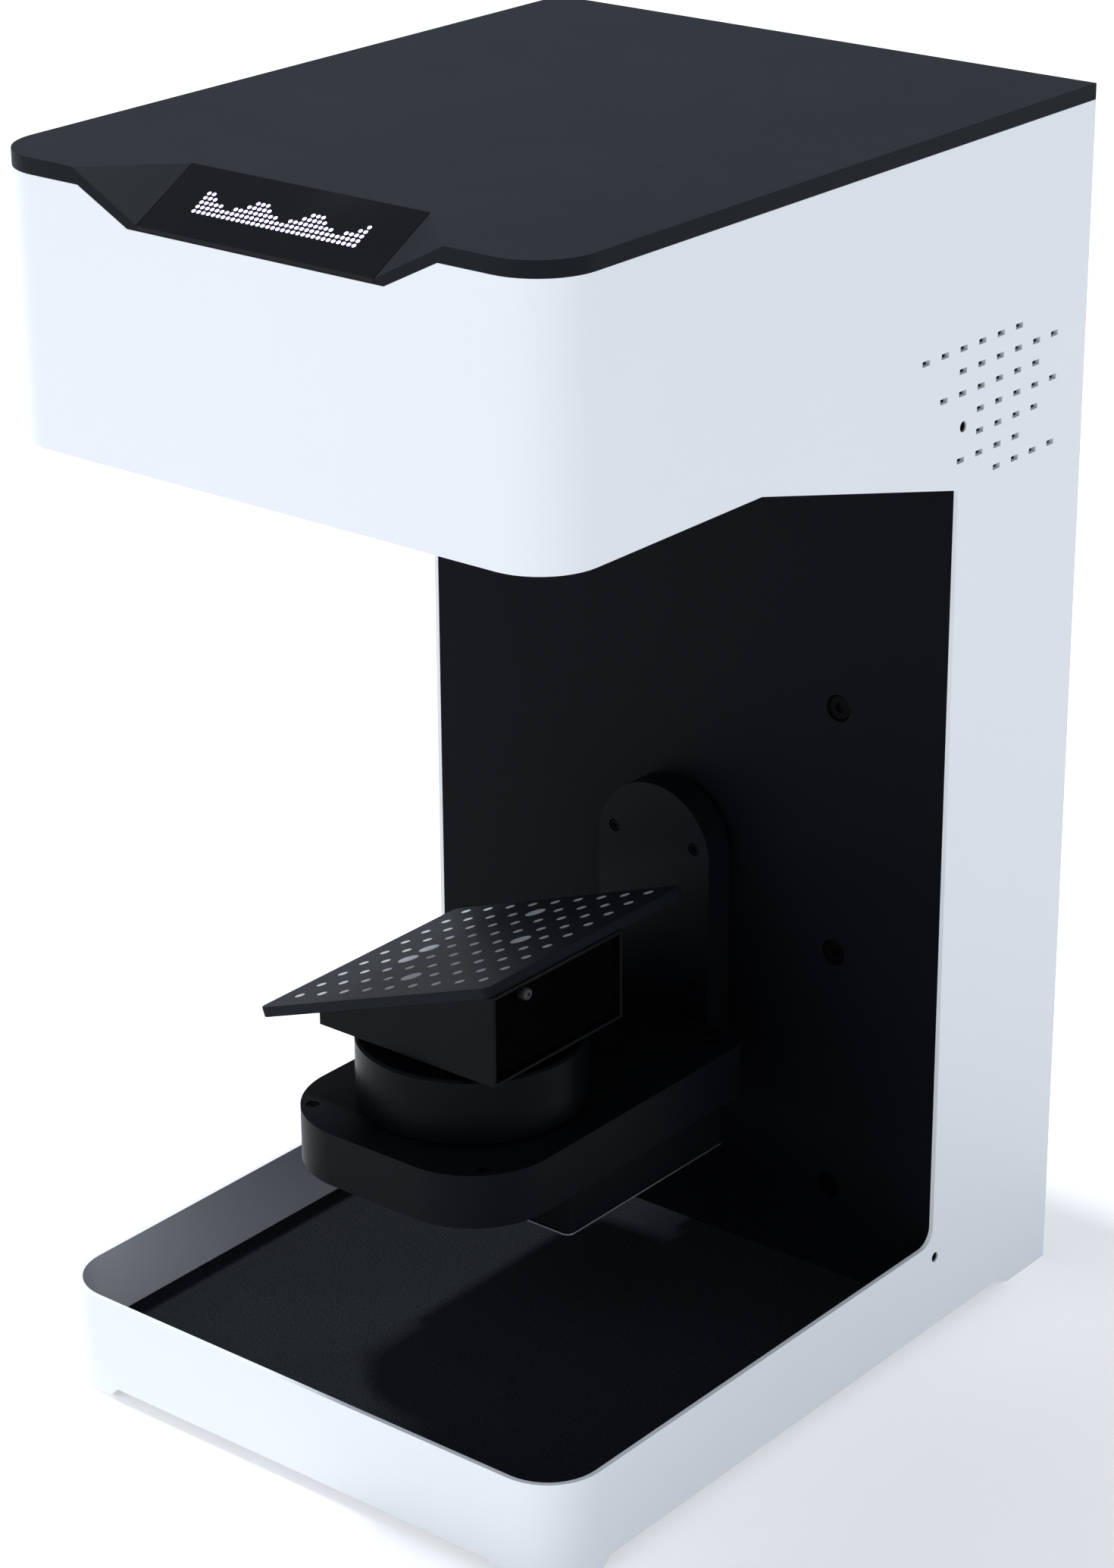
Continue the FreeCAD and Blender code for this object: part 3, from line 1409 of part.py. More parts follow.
def make_arch_cover():
    """The round-topped cap over the upright of the bracket."""
    owner = new_body("arch_body")
    face = sketch_on(owner, "arch_outline", "XZ_Plane", -(panel_face - S.arch_back))
    arch(face, S.arch_half, S.arm_bottom, S.swing_height)
    pad(owner, "arch_solid", face, S.arch_front - S.arch_back)
    inside = sketch_on(owner, "arch_hollow_outline", "XZ_Plane", -(panel_face - S.arch_back + S.overrun))
    arch(inside, S.arch_half - S.arch_wall, S.arm_bottom - S.overrun, S.swing_height)
    pocket(owner, "arch_hollow", inside, S.arch_front - S.arch_back - S.arch_wall + S.overrun, reverse=True)
    neck = sketch_on(owner, "arch_neck_outline", "XZ_Plane", -(panel_face - S.arch_back))
    rectangle(neck, (-S.bracket_neck_half - S.fit, S.arm_bottom - S.overrun),
              (S.bracket_neck_half + S.fit, bracket_top + S.bracket_bend + S.fit))
    pocket(owner, "arch_neck", neck)
    holes = sketch_on(owner, "arch_holes_outline", "XZ_Plane", -(panel_face - S.arch_back))
    for x in (-S.arch_screw_side, S.arch_screw_side):
        for z in (S.arch_screw_low, S.arch_screw_high):
            circle(holes, x, z, S.arm_screw_radius + S.running_fit)
    pocket(owner, "arch_holes", holes)
    arch_face = panel_face - S.arch_front
    sunk = sketch_on(owner, "arch_sunk_outline", "XZ_Plane", -(arch_face - S.overrun))
    for x in (-S.arch_screw_side, S.arch_screw_side):
        for z in (S.arch_screw_low, S.arch_screw_high):
            circle(sunk, x, z, S.arm_screw_head + S.fit)
    pocket(owner, "arch_sunk_holes", sunk, S.overrun + S.arm_screw_sink)
    keep("arch_cover", owner)

    screws = []
    for x in (-S.arch_screw_side, S.arch_screw_side):
        for z in (S.arch_screw_low, S.arch_screw_high):
            name = "arch_screw_%d" % len(screws)
            y = arch_face + S.arm_screw_sink
            head = rod(name + "_head", S.arm_screw_head, (x, y, z), S.arm_screw_head_height, "-y")
            shank = rod(name + "_shank", S.arm_screw_radius, (x, y, z),
                        S.arch_wall - S.arm_screw_sink + S.fit + S.arch_screw_reach, "y")
            screws.append(joined(name, [head, shank]))
    keep("arch_screws", group("arch_screw_set", screws))


def make_motor_pod():
    """The housing under the arm for the turntable motor, and its bright bottom plate."""
    owner = new_body("pod_body")
    bottom = S.pod_bottom + S.pod_trim
    plan = sketch_on(owner, "pod_plan", "XY_Plane", bottom)
    rectangle(plan, (-S.pod_half, table_y - S.pod_front_reach), (S.pod_half, table_y + S.pod_rear_reach))
    solid = pad(owner, "pod_solid", plan, S.arm_bottom - bottom)
    corners = straight_edges(solid, Z_AXIS, lambda middle: True)
    rounded = fillet(owner, "pod_corners", solid, corners, S.pod_corner)
    hollow(owner, "pod_walls", rounded, flat_faces(rounded, [Z_AXIS]), S.pod_wall)
    keep("motor_pod", owner)

    trim = new_body("pod_trim_body")
    proud = S.pod_trim_proud
    plan = sketch_on(trim, "pod_trim_plan", "XY_Plane", S.pod_bottom)
    rectangle(plan, (-S.pod_half - proud, table_y - S.pod_front_reach - proud),
              (S.pod_half + proud, table_y + S.pod_rear_reach + proud))
    solid = pad(trim, "pod_trim_solid", plan, S.pod_trim)
    fillet(trim, "pod_trim_corners", solid, straight_edges(solid, Z_AXIS, lambda middle: True),
           S.pod_corner + proud)
    keep("pod_bottom_plate", trim)

    motor = motor_solid("table_motor", S.pancake_length, None)
    turned_to(motor, "-z")
    keep("turntable_motor", place(motor, 0, table_pinion_y, bracket_bottom))
    gear_bottom = bracket_top + S.table_gear_lift
    top = gear_bottom + S.table_gear_width
    length = top - bracket_bottom + S.motor_bore_depth
    keep("turntable_motor_shaft", rod("table_motor_rod", S.motor_shaft,
                                      (0, table_pinion_y, bracket_bottom - S.motor_bore_depth), length))


# Turntable

ring_top = arm_top + S.ring_height
drum_bottom = ring_top + S.drum_gap
drum_top = drum_bottom + S.drum_height
block_bottom = drum_top + S.adapter_height
block_high = S.block_low + S.block_half_width * 2 * tangent(S.block_tilt_angle)
table_gear_bottom = bracket_top + S.table_gear_lift


def make_turntable_bearing():
    """The fixed ring that the drum turns on, and the two bearings of the spindle."""
    seat = arm_top + S.ring_step
    ring = turned("table_ring_body", [
        (S.ring_shoulder, arm_top),
        (S.ring_radius, arm_top),
        (S.ring_radius, ring_top),
        (S.bearing_outer, ring_top),
        (S.bearing_outer, seat),
        (S.ring_shoulder, seat),
    ])
    keep("turntable_ring", place(ring, 0, table_y, 0))
    upper = turned("table_upper_ring", ring_profile(S.spindle_radius + S.running_fit,
                                                    S.bearing_outer - S.running_fit / 2,
                                                    S.table_bearing_width, seat))
    foot = bracket_bottom + S.fit
    lower = turned("table_lower_ring", [
        (S.spindle_foot + S.running_fit, foot),
        (S.foot_bearing_outer - S.running_fit / 2, foot),
        (S.foot_bearing_outer - S.running_fit / 2, foot + S.foot_bearing_width),
        (S.spindle_foot + S.running_fit, foot + S.foot_bearing_width),
    ])
    rings = [place(upper, 0, table_y, 0), place(lower, 0, table_y, 0)]
    keep("turntable_bearings", group("table_ring_set", rings))


def make_turntable():
    """Spindle, gear, drum and adapter disc, with the motor's pinion."""
    waist_bottom = bracket_top + S.fit
    spindle = turned("spindle_body", [
        (0, bracket_bottom + S.fit),
        (S.spindle_foot, bracket_bottom + S.fit),
        (S.spindle_foot, waist_bottom),
        (S.spindle_waist, waist_bottom),
        (S.spindle_waist, S.spindle_waist_top),
        (S.spindle_radius, S.spindle_waist_top),
        (S.spindle_radius, drum_bottom),
        (0, drum_bottom),
    ])
    keep("turntable_spindle", place(spindle, 0, table_y, 0))
    wheel = gear("table_wheel", S.gear_teeth, S.table_gear_module, S.table_gear_width,
                 S.spindle_waist + S.running_fit / 2, math.pi / 2)
    keep("turntable_gear", place(wheel, 0, table_y, table_gear_bottom))
    half_step = math.pi / int(S.pinion_teeth.number)
    small = gear("table_small_wheel", S.pinion_teeth, S.table_gear_module, S.table_gear_width,
                 S.motor_shaft, -math.pi / 2 + half_step)
    keep("turntable_pinion", place(small, 0, table_pinion_y, table_gear_bottom))

    edge = S.drum_edge
    skirt_bottom = arm_top + S.skirt_gap
    skirt_inner = S.ring_radius + S.skirt_clearance
    drum = turned("drum_body", [
        (0, drum_bottom),
        (skirt_inner, drum_bottom),
        (skirt_inner, skirt_bottom),
        (S.drum_radius - edge, skirt_bottom),
        (S.drum_radius, skirt_bottom + edge),
        (S.drum_radius, drum_top - edge),
        (S.drum_radius - edge, drum_top),
        (0, drum_top),
    ])
    keep("turntable_drum", place(drum, 0, table_y, 0))
    disc = turned("adapter_body", [
        (0, drum_top),
        (S.adapter_radius, drum_top),
        (S.adapter_radius, drum_top + S.adapter_height),
        (0, drum_top + S.adapter_height),
    ])
    keep("adapter_disc", place(disc, 0, table_y, 0))


def make_calibration_target():
    """The wedge block on the turntable and the calibration board that lies on it."""
    owner = new_body("wedge_body")
    profile = sketch_on(owner, "wedge_profile", "XZ_Plane")
    outline(profile, [
        (-S.block_half_width, block_bottom),
        (S.block_half_width, block_bottom),
        (S.block_half_width, block_bottom + block_high),
        (-S.block_half_width, block_bottom + S.block_low),
    ])
    pad(owner, "wedge_solid", profile, S.block_half_depth * 2, middle=True)
    end = sketch_on(owner, "wedge_recess_outline", "YZ_Plane", S.block_half_width + S.overrun)
    rectangle(end, (-S.block_half_depth + S.block_rim, block_bottom + S.block_rim),
              (S.block_half_depth - S.block_rim, block_bottom + block_high - S.block_rim_top))
    pocket(owner, "wedge_recess", end, S.overrun + S.block_recess)
    hole = sketch_on(owner, "wedge_tap_outline", "YZ_Plane", S.block_half_width + S.overrun)
    knob_y = -S.block_half_depth + S.knob_from_front
    knob_z = block_bottom + block_high - S.knob_below_top
    circle(hole, knob_y, knob_z, S.knob_stem + S.running_fit)
    pocket(owner, "wedge_tap", hole, S.overrun + S.block_recess * 2)
    keep("wedge_block", place(owner, 0, table_y, 0))

    cover_x = S.block_half_width - S.block_recess
    low = (cover_x, table_y - S.block_half_depth + S.block_rim + S.fit, block_bottom + S.block_rim + S.fit)
    high = (cover_x + S.end_cover, table_y + S.block_half_depth - S.block_rim - S.fit,
            block_bottom + block_high - S.block_rim_top - S.fit)
    sheet = block("end_cover_sheet", low, high)
    world_y = table_y + knob_y
    hole = rod("end_cover_hole", S.knob_stem + S.running_fit, (cover_x - S.overrun, world_y, knob_z),
               S.overrun * 2, "x")
    keep("wedge_end_cover", cut("end_cover_cut", sheet, [hole]))
    face = cover_x + S.end_cover
    head = rod("knob_head", S.knob_radius, (face, world_y, knob_z), S.knob_height, "x")
    stem = rod("knob_shank", S.knob_stem, (face, world_y, knob_z),
               S.end_cover + S.block_recess - S.fit, "-x")
    keep("wedge_knob", joined("knob_whole", [head, stem]))

    board = new_body("board_body")
    plan = sketch_on(board, "board_plan", "XY_Plane")
    rectangle(plan, (-S.board_width, 0), (0, S.board_depth))
    solid = pad(board, "board_solid", plan, S.board_thickness)
    fillet(board, "board_corners", solid, straight_edges(solid, Z_AXIS, lambda middle: True), S.board_corner)
    board_x = S.block_half_width - S.board_end_inset
    board_z = block_bottom + block_high - S.board_end_inset * tangent(S.block_tilt_angle)
    board_y = table_y - S.block_half_depth - S.board_front_proud
    keep("calibration_board", place(board, board_x, board_y, board_z, -Y_AXIS, S.block_tilt_angle))


# Optics in the head, built about the middle of the sloping underside

slope_middle = slope_start + S.slope_run / 2
slope_middle_height = (S.head_bottom + slope_end_height) / 2


def on_slope(item):
    """The piece is set on the sloping underside, its own Z square to the slope."""
    return place(item, 0, slope_middle, slope_middle_height, -X_AXIS, S.underside_angle)


def make_head_underside():
    """The folded sheet under the head, with the openings for the optics."""
    owner = new_body("underside_body")
    sheet = S.sheet / cosine(S.underside_angle)
    side = sketch_on(owner, "underside_profile", "YZ_Plane")
    rear = panel_face - S.fit
    rear_height = slope_end_height + S.fit * tangent(S.underside_angle)
    outline(side, [
        (shell_front, S.head_bottom),
        (slope_start, S.head_bottom),
        (rear, rear_height),
        (rear, rear_height + sheet),
        (slope_start, S.head_bottom + sheet),
        (shell_front, S.head_bottom + sheet),
    ])
    solid = pad(owner, "underside_solid", side, loose_half * 2, middle=True)
    corners = straight_edges(solid, Z_AXIS, lambda middle: middle.y < slope_start.number)
    fillet(owner, "underside_corners", solid, corners, S.corner_radius - S.shell_wall - S.fit)

    middle = block("projector_port", (-S.projector_window_half, -S.projector_window_half_depth, -S.overrun),
                   (S.projector_window_half, S.projector_window_half_depth, S.overrun))
    ports = [on_slope(middle)]
    bind(ports[0], "Placement.Base.x", -S.projector_window_half)
    tilt = S.underside_angle
    half_depth = S.projector_window_half_depth
    shift_y = -half_depth * cosine(tilt) - S.overrun * sine(tilt)
    shift_z = half_depth * sine(tilt) - S.overrun * cosine(tilt)
    bind(ports[0], "Placement.Base.y", slope_middle + shift_y)
    bind(ports[0], "Placement.Base.z", slope_middle_height + shift_z)
    for side_sign in (-1, 1):
        port = doc.addObject("Part::Cylinder", "camera_port_%d" % len(ports))
        bind(port, "Radius", S.camera_window_radius)
        bind(port, "Height", S.overrun * 2)
        on_slope(port)
        bind(port, "Placement.Base.x", side_sign * window_side)
        bind(port, "Placement.Base.y", slope_middle - S.overrun * sine(S.underside_angle))
        bind(port, "Placement.Base.z", slope_middle_height - S.overrun * cosine(S.underside_angle))
        ports.append(port)
    keep("head_underside", cut("underside_cut", owner, ports))


def make_windows():
    """The glass panes over the openings."""
    lap = S.window_lap
    pane = block("projector_pane",
                 (-S.projector_window_half - lap, -S.projector_window_half_depth - lap, S.sheet),
                 (S.projector_window_half + lap, S.projector_window_half_depth + lap,
                  S.sheet + S.window_thickness))
    keep("projector_window", on_slope(group("projector_pane_set", [pane])))
    panes = []
    for side in (-1, 1):
        panes.append(rod("camera_pane_%d" % len(panes), S.camera_window_radius + lap,
                         (side * window_side, 0, S.sheet), S.window_thickness))
    keep("camera_windows", on_slope(group("camera_pane_set", panes)))


def make_optical_bench():
    """The folded bench over the windows, which holds the projector and both cameras."""
    owner = new_body("bench_body")
    base = S.sheet
    top = base + S.bench_height
    inner = bench_half - S.bench_sheet
    face = sketch_on(owner, "bench_profile", "XZ_Plane")
    outline(face, [
        (-bench_half, base),
        (-inner, base),
        (-inner, top - S.bench_sheet),
        (inner, top - S.bench_sheet),
        (inner, base),
        (bench_half, base),
        (bench_half, top),
        (-bench_half, top),
    ])
    pad(owner, "bench_solid", face, S.bench_half_depth * 2, middle=True)
    holes = sketch_on(owner, "bench_holes_outline", "XY_Plane", top + S.overrun)
    for x in (-camera_side, 0, camera_side):
        circle(holes, x, 0, S.bench_hole)
    pocket(owner, "bench_holes", holes, S.overrun + S.bench_sheet + S.fit)
    keep("optical_bench", on_slope(owner))


def make_projector():
    """The pattern projector with its cooling fins and its lens."""
    base = S.sheet + S.bench_height
    owner = new_body("projector_solid_body")
    plan = sketch_on(owner, "projector_plan", "XY_Plane", base)
    rectangle(plan, (-S.projector_half, -S.projector_half_depth), (S.projector_half, S.projector_half_depth))
    pad(owner, "projector_solid", plan, S.projector_height)
    groove = sketch_on(owner, "projector_groove_outline", "XZ_Plane")
    start = S.fin_pitch * (S.fins - 1) / 2
    top = base + S.projector_height
    rectangle(groove, (-start - S.fin_width / 2, top - S.fin_depth),
              (-start + S.fin_width / 2, top + S.overrun))
    first = pocket(owner, "projector_groove", groove)
    repeated(owner, "projector_grooves", first, groove, S.fins, start * 2)
    keep("projector_body", on_slope(owner))

    lens = turned("projector_lens_body", lens_profile(base, S.projector_lens_radius, S.projector_lens_nose,
                                                      S.projector_lens_length))
    keep("projector_lens", on_slope(lens))


def lens_profile(top, radius, nose, length):
    """Half profile of a lens barrel that hangs from its mount, with a cupped front."""
    bottom = top - length
    return [
        (0, bottom + S.lens_lip),
        (nose - S.lens_lip, bottom + S.lens_lip),
        (nose - S.lens_lip, bottom),
        (nose, bottom),
        (nose, bottom + length / 3),
        (radius, bottom + length / 2),
        (radius, top),
        (0, top),
    ]


def make_cameras():
    """Two cameras, toed in towards the turntable, with their lenses."""
    base = S.sheet + S.bench_height
    barrels = []
    for side, name in ((-1, "left"), (1, "right")):
        axis = Y_AXIS * side
        half = S.camera_half
        case = block(name + "_case", (-half, -half, 0), (half, half, S.camera_length))
        holder = group(name + "_case_set", [case])
        place(holder, side * camera_side, 0, base + half * tangent(S.camera_toe_angle),
              axis, S.camera_toe_angle)
        keep(name + "_camera", on_slope(group(name + "_camera_set", [holder])))
        barrel = turned(name + "_barrel", lens_profile(0, S.camera_lens_radius, S.camera_lens_nose,
                                                       S.camera_lens_length))
        place(barrel, side * camera_side, 0, base + half * tangent(S.camera_toe_angle),
              axis, S.camera_toe_angle)
        barrels.append(barrel)
    keep("camera_lenses", on_slope(group("camera_lens_set", barrels)))


# Electronics in the column

def make_electronics():
    """Power supply and control board on the rear face of the column frame."""
    left = -(half_width - S.supply_inset)
    bottom = S.supply_lift
    case = block("supply_case", (left, frame_rear, bottom),
                 (-S.supply_side, frame_rear + S.supply_depth, bottom + S.supply_height))
    top = bottom + S.supply_height
    notch = block("supply_notch",
                  (left - S.overrun, frame_rear + S.supply_lip, top - S.supply_lip_height),
                  (-S.supply_side + S.overrun, frame_rear + S.supply_depth + S.overrun, top + S.overrun))
    keep("power_supply", cut("supply_cut", case, [notch]))

    right = half_width - S.circuit_inset
    width = right - S.supply_side
    low = S.supply_lift
    high = low + S.circuit_height
    board_y = frame_rear + S.circuit_standoff
    sheet = block("circuit_sheet", (S.supply_side, board_y, low),
                  (right, board_y + S.circuit_thickness, high))
    chip_y = board_y + S.circuit_thickness
    items = [sheet]
    for row in range(3):
        base = low + S.circuit_height * (row + 1) / 5
        for column in range(2):
            x = S.supply_side + width * (column + 1) / 3
            items.append(block("chip_%d" % len(items), (x, chip_y, base),
                               (x + width / 5, chip_y + S.chip_height,
                                base + S.circuit_height / 9)))
    keep("control_board", joined("circuit_whole", items))
    posts = []
    inset = S.circuit_hole_inset
    for x in (S.supply_side + inset, right - inset):
        for z in (low + inset, high - inset):
            posts.append(hexagon("circuit_post_%d" % len(posts), S.circuit_post_radius,
                                 (x, frame_rear, z), S.circuit_standoff, "y"))
    keep("board_standoffs", group("circuit_post_set", posts))


def make_fan():
    """The cooling fan behind the right vents: its frame, and the rotor on its pin."""
    half = S.fan_side / 2
    x = loose_half
    y = panel_face + S.fan_depth
    z = S.fan_height
    owner = new_body("fan_body")
    plan = sketch_on(owner, "fan_outline", "XY_Plane")
    rectangle(plan, (-half, -half), (half, half))
    circle(plan, 0, 0, S.fan_opening)
    for across in (-S.fan_hole_side, S.fan_hole_side):
        for up in (-S.fan_hole_side, S.fan_hole_side):
            circle(plan, across, up, S.fan_hole_radius)
    pad(owner, "fan_ring", plan, S.fan_thickness)
    reach = (half + S.fan_opening) / 2
    spider = sketch_on(owner, "fan_strut_outline", "XY_Plane")
    rectangle(spider, (-S.fan_strut / 2, -reach), (S.fan_strut / 2, reach))
    pad(owner, "fan_strut_up", spider, S.fan_base)
    spider = sketch_on(owner, "fan_strut_across_outline", "XY_Plane")
    rectangle(spider, (-reach, -S.fan_strut / 2), (reach, S.fan_strut / 2))
    pad(owner, "fan_strut_across", spider, S.fan_base)
    hub = sketch_on(owner, "fan_hub_outline", "XY_Plane")
    circle(hub, 0, 0, S.fan_hub)
    pad(owner, "fan_hub_disc", hub, S.fan_base)
    stem = sketch_on(owner, "fan_pin_outline", "XY_Plane")
    circle(stem, 0, 0, S.fan_pin)
    pad(owner, "fan_pin_post", stem, S.fan_thickness - S.fan_base)
    turned_to(owner, "x")
    keep("fan_frame", place(owner, x - S.fan_thickness, y, z))

    rotor = new_body("rotor_body")
    base = S.fan_base + S.fan_gap
    top = S.fan_thickness - S.fan_gap
    hub = sketch_on(rotor, "rotor_hub_outline", "XY_Plane", base)
    circle(hub, 0, 0, S.fan_hub)
    circle(hub, 0, 0, S.fan_pin + S.running_fit)
    pad(rotor, "rotor_hub", hub, top - base)
    middle = (base + top) / 2
    start = S.fan_hub - S.fan_blade_thickness
    section = sketch_on(rotor, "blade_outline", "XZ_Plane", start)
    long = (top - base) / 2 / sine(S.fan_blade_angle) - S.fan_blade_thickness
    thick = S.fan_blade_thickness / 2
    corners = []
    for along, aside in ((-1, -1), (1, -1), (1, 1), (-1, 1)):
        px = long * along * cosine(S.fan_blade_angle) - thick * aside * sine(S.fan_blade_angle)
        pz = middle + long * along * sine(S.fan_blade_angle) + thick * aside * cosine(S.fan_blade_angle)
        corners.append((px, pz))
    outline(section, corners)
    blade = pad(rotor, "blade", section, S.fan_blade_reach - start)
    doc.recompute()
    wheel = rotor.newObject("PartDesign::PolarPattern", "blades")
    wheel.Originals = [blade]
    wheel.Axis = (hub, ["N_Axis"])
    wheel.Angle = 360.0
    bind(wheel, "Occurrences", S.fan_blades)
    rotor.Tip = wheel
    turned_to(rotor, "x")
    keep("fan_rotor", place(rotor, x - S.fan_thickness, y, z))


def check_all():
    """Nothing may have failed, and every sub-part is a sound solid."""
    doc.recompute()
    for item in doc.Objects:
        if "Invalid" in item.State or "Error" in item.State:
            raise RuntimeError("failed: " + item.Label + " " + str(item.State))
    for node, item in parts.items():
        shape = item.Shape
        if shape.isNull() or not shape.isValid() or not shape.Solids:
            raise RuntimeError("unsound: " + node)


def write_all():
    os.makedirs("parts", exist_ok=True)
    for node, item in parts.items():
        item.Shape.exportStep("parts/" + node + ".step")
        box = item.Shape.BoundBox
        print("%-24s solids %2d  volume %10.1f  x %7.1f %7.1f  y %7.1f %7.1f  z %6.1f %6.1f" % (
            node, len(item.Shape.Solids), item.Shape.Volume,
            box.XMin, box.XMax, box.YMin, box.YMax, box.ZMin, box.ZMax))
    print(len(parts), "sub-parts")


make_outer_shell()
make_side_screws()
make_top_lid()
make_display()
make_base()
make_rear_panel()
make_column_frame()
make_back_cover()
make_power_inlet()
make_usb_socket()
make_power_switch()
make_swing_drive()
make_arm_bracket()
make_arm_cover()
make_arch_cover()
make_motor_pod()
make_turntable_bearing()
make_turntable()
make_calibration_target()
make_head_underside()
make_windows()
make_optical_bench()
make_projector()
make_cameras()
make_electronics()
make_fan()
check_all()
write_all()
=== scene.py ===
# %% [markdown]
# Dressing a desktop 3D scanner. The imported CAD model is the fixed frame: it
# gives every size and every joint. This lesson adds what a camera sees, which
# is smooth powder-coated walls with rounded edges, real screw heads, the
# printed target and the display.

import bmesh
import bpy
import json
import math
from mathutils import Matrix, Vector


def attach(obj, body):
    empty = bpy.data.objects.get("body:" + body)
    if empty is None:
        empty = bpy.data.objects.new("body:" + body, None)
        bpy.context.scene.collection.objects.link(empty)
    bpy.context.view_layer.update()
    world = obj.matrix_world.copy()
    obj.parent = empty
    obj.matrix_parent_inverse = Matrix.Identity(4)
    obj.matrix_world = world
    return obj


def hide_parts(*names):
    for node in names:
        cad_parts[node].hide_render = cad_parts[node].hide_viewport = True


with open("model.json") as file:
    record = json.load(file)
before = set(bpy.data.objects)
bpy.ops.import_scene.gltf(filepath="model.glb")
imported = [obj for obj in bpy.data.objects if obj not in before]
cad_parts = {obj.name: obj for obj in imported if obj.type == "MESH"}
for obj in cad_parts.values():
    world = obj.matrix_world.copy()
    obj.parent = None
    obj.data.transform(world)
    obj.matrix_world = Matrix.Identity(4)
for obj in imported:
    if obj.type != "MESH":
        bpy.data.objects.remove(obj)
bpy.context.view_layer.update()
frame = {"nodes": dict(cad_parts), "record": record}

# %% [markdown]
# The camera comes first, so that every later choice can be judged in its view.
# A product photograph like this one is taken with a long lens from above the
# front right corner, a little over a metre and a half away. The place, the aim
# and the lens were worked out from the straight edges of the housing.

# %% Camera
IMAGE_LONG_SIDE = 2069.0
SENSOR = 36.0
FOCAL_PIXELS = 5344.45
CAMERA_AZIMUTH = math.radians(39.189)
CAMERA_ELEVATION = math.radians(22.815)
CAMERA_ROLL = math.radians(-0.384)
CAMERA_PLACE = Vector((0.9574, -1.1758, 0.8849))


def camera_axes(azimuth, elevation, roll):
    """Right, up and backward directions of a camera that looks down at the object."""
    right = Vector((math.cos(azimuth), math.sin(azimuth), 0))
    backward = Vector((math.sin(azimuth) * math.cos(elevation),
                       -math.cos(azimuth) * math.cos(elevation),
                       math.sin(elevation)))
    up = backward.cross(right)
    return (right * math.cos(roll) + up * math.sin(roll),
            up * math.cos(roll) - right * math.sin(roll),
            backward)


camera_data = bpy.data.cameras.new("Camera")
camera_data.sensor_width = SENSOR
camera_data.lens = SENSOR * FOCAL_PIXELS / IMAGE_LONG_SIDE
camera_data.clip_end = 20.0
camera = bpy.data.objects.new("Camera", camera_data)
axes = camera_axes(CAMERA_AZIMUTH, CAMERA_ELEVATION, CAMERA_ROLL)
camera.matrix_world = Matrix.Translation(CAMERA_PLACE) @ Matrix(axes).transposed().to_4x4()
bpy.context.scene.collection.objects.link(camera)
bpy.context.scene.camera = camera
print("Lens: %.2f mm" % camera_data.lens)

# %% [markdown]
# The studio is a plain pale floor under an even white sky. A large soft lamp in
# front makes the front of the housing a little brighter than its side, and a
# weaker one on the right reaches into the bay under the head. A small lamp
# stands high on the left: it shines through the open side of the bay, so the
# left of the bay floor is lit and its right stays black. The floor gets
# brighter with distance, so that it meets the white sky without a grey line. The
# sky is drawn pure white behind the object but lights it less strongly, which
# keeps the black parts black.

# %% Floor, sky and lamps
SKY_LIGHT = 0.42
SKY_TINT = (0.86, 0.94, 1.06, 1.0)


def add(tree, kind, settings=None, inputs=None):
    """One shader or geometry node, with its settings and its values or links."""
    made = tree.nodes.new(kind)
    for key, value in (settings or {}).items():
        setattr(made, key, value)
    for key, value in (inputs or {}).items():
        if isinstance(value, bpy.types.NodeSocket):
            tree.links.new(value, made.inputs[key])
        else:
            made.inputs[key].default_value = value
    return made


def stand(name, data):
    """A new object in the scene."""
    thing = bpy.data.objects.new(name, data)
    bpy.context.scene.collection.objects.link(thing)
    return thing


def soft_lamp(name, place, aim, size, power, tint):
    """A square area lamp that points at a spot on the object."""
    lamp = bpy.data.lights.new(name, "AREA")
    lamp.shape = "SQUARE"
    lamp.size = size
    lamp.energy = power
    lamp.color = tint
    holder = stand(name, lamp)
    holder.location = place
    holder.rotation_mode = "QUATERNION"
    holder.rotation_quaternion = (Vector(aim) - Vector(place)).to_track_quat("-Z", "Y")


sky = bpy.data.worlds.new("White sky")
bpy.context.scene.world = sky
sky.use_nodes = True
sky.node_tree.nodes.clear()
path = add(sky.node_tree, "ShaderNodeLightPath")
lighting = add(sky.node_tree, "ShaderNodeBackground", None, {"Color": SKY_TINT, "Strength": SKY_LIGHT})
seen = add(sky.node_tree, "ShaderNodeBackground", None, {"Color": (1, 1, 1, 1), "Strength": 1.0})
both = add(sky.node_tree, "ShaderNodeMixShader", None,
           {0: path.outputs["Is Camera Ray"], 1: lighting.outputs[0], 2: seen.outputs[0]})
add(sky.node_tree, "ShaderNodeOutputWorld", None, {"Surface": both.outputs[0]})

soft_lamp("Front lamp", (-0.45, -2.3, 1.25), (0.0, 0.0, 0.27), 1.4, 12.0, (1.0, 0.99, 0.98))
soft_lamp("Right lamp", (2.2, -0.35, 1.05), (0.0, -0.05, 0.15), 0.9, 4.8, (0.95, 0.97, 1.0))
soft_lamp("High left lamp", (-0.86, -0.06, 2.33), (-0.05, -0.04, 0.1), 0.2, 50.0, (0.96, 0.98, 1.0))
bpy.context.scene.view_settings.view_transform = "Standard"

FLOOR_HALF = 6.0
floor_mesh = bpy.data.meshes.new("Floor")
floor_corners = [(x * FLOOR_HALF, y * FLOOR_HALF, 0) for x, y in ((-1, -1), (1, -1), (1, 1), (-1, 1))]
floor_mesh.from_pydata(floor_corners, [], [(0, 1, 2, 3)])
floor = stand("Floor", floor_mesh)
print("Sky strength %.2f, floor %.1f m wide" % (SKY_LIGHT, 2 * FLOOR_HALF))

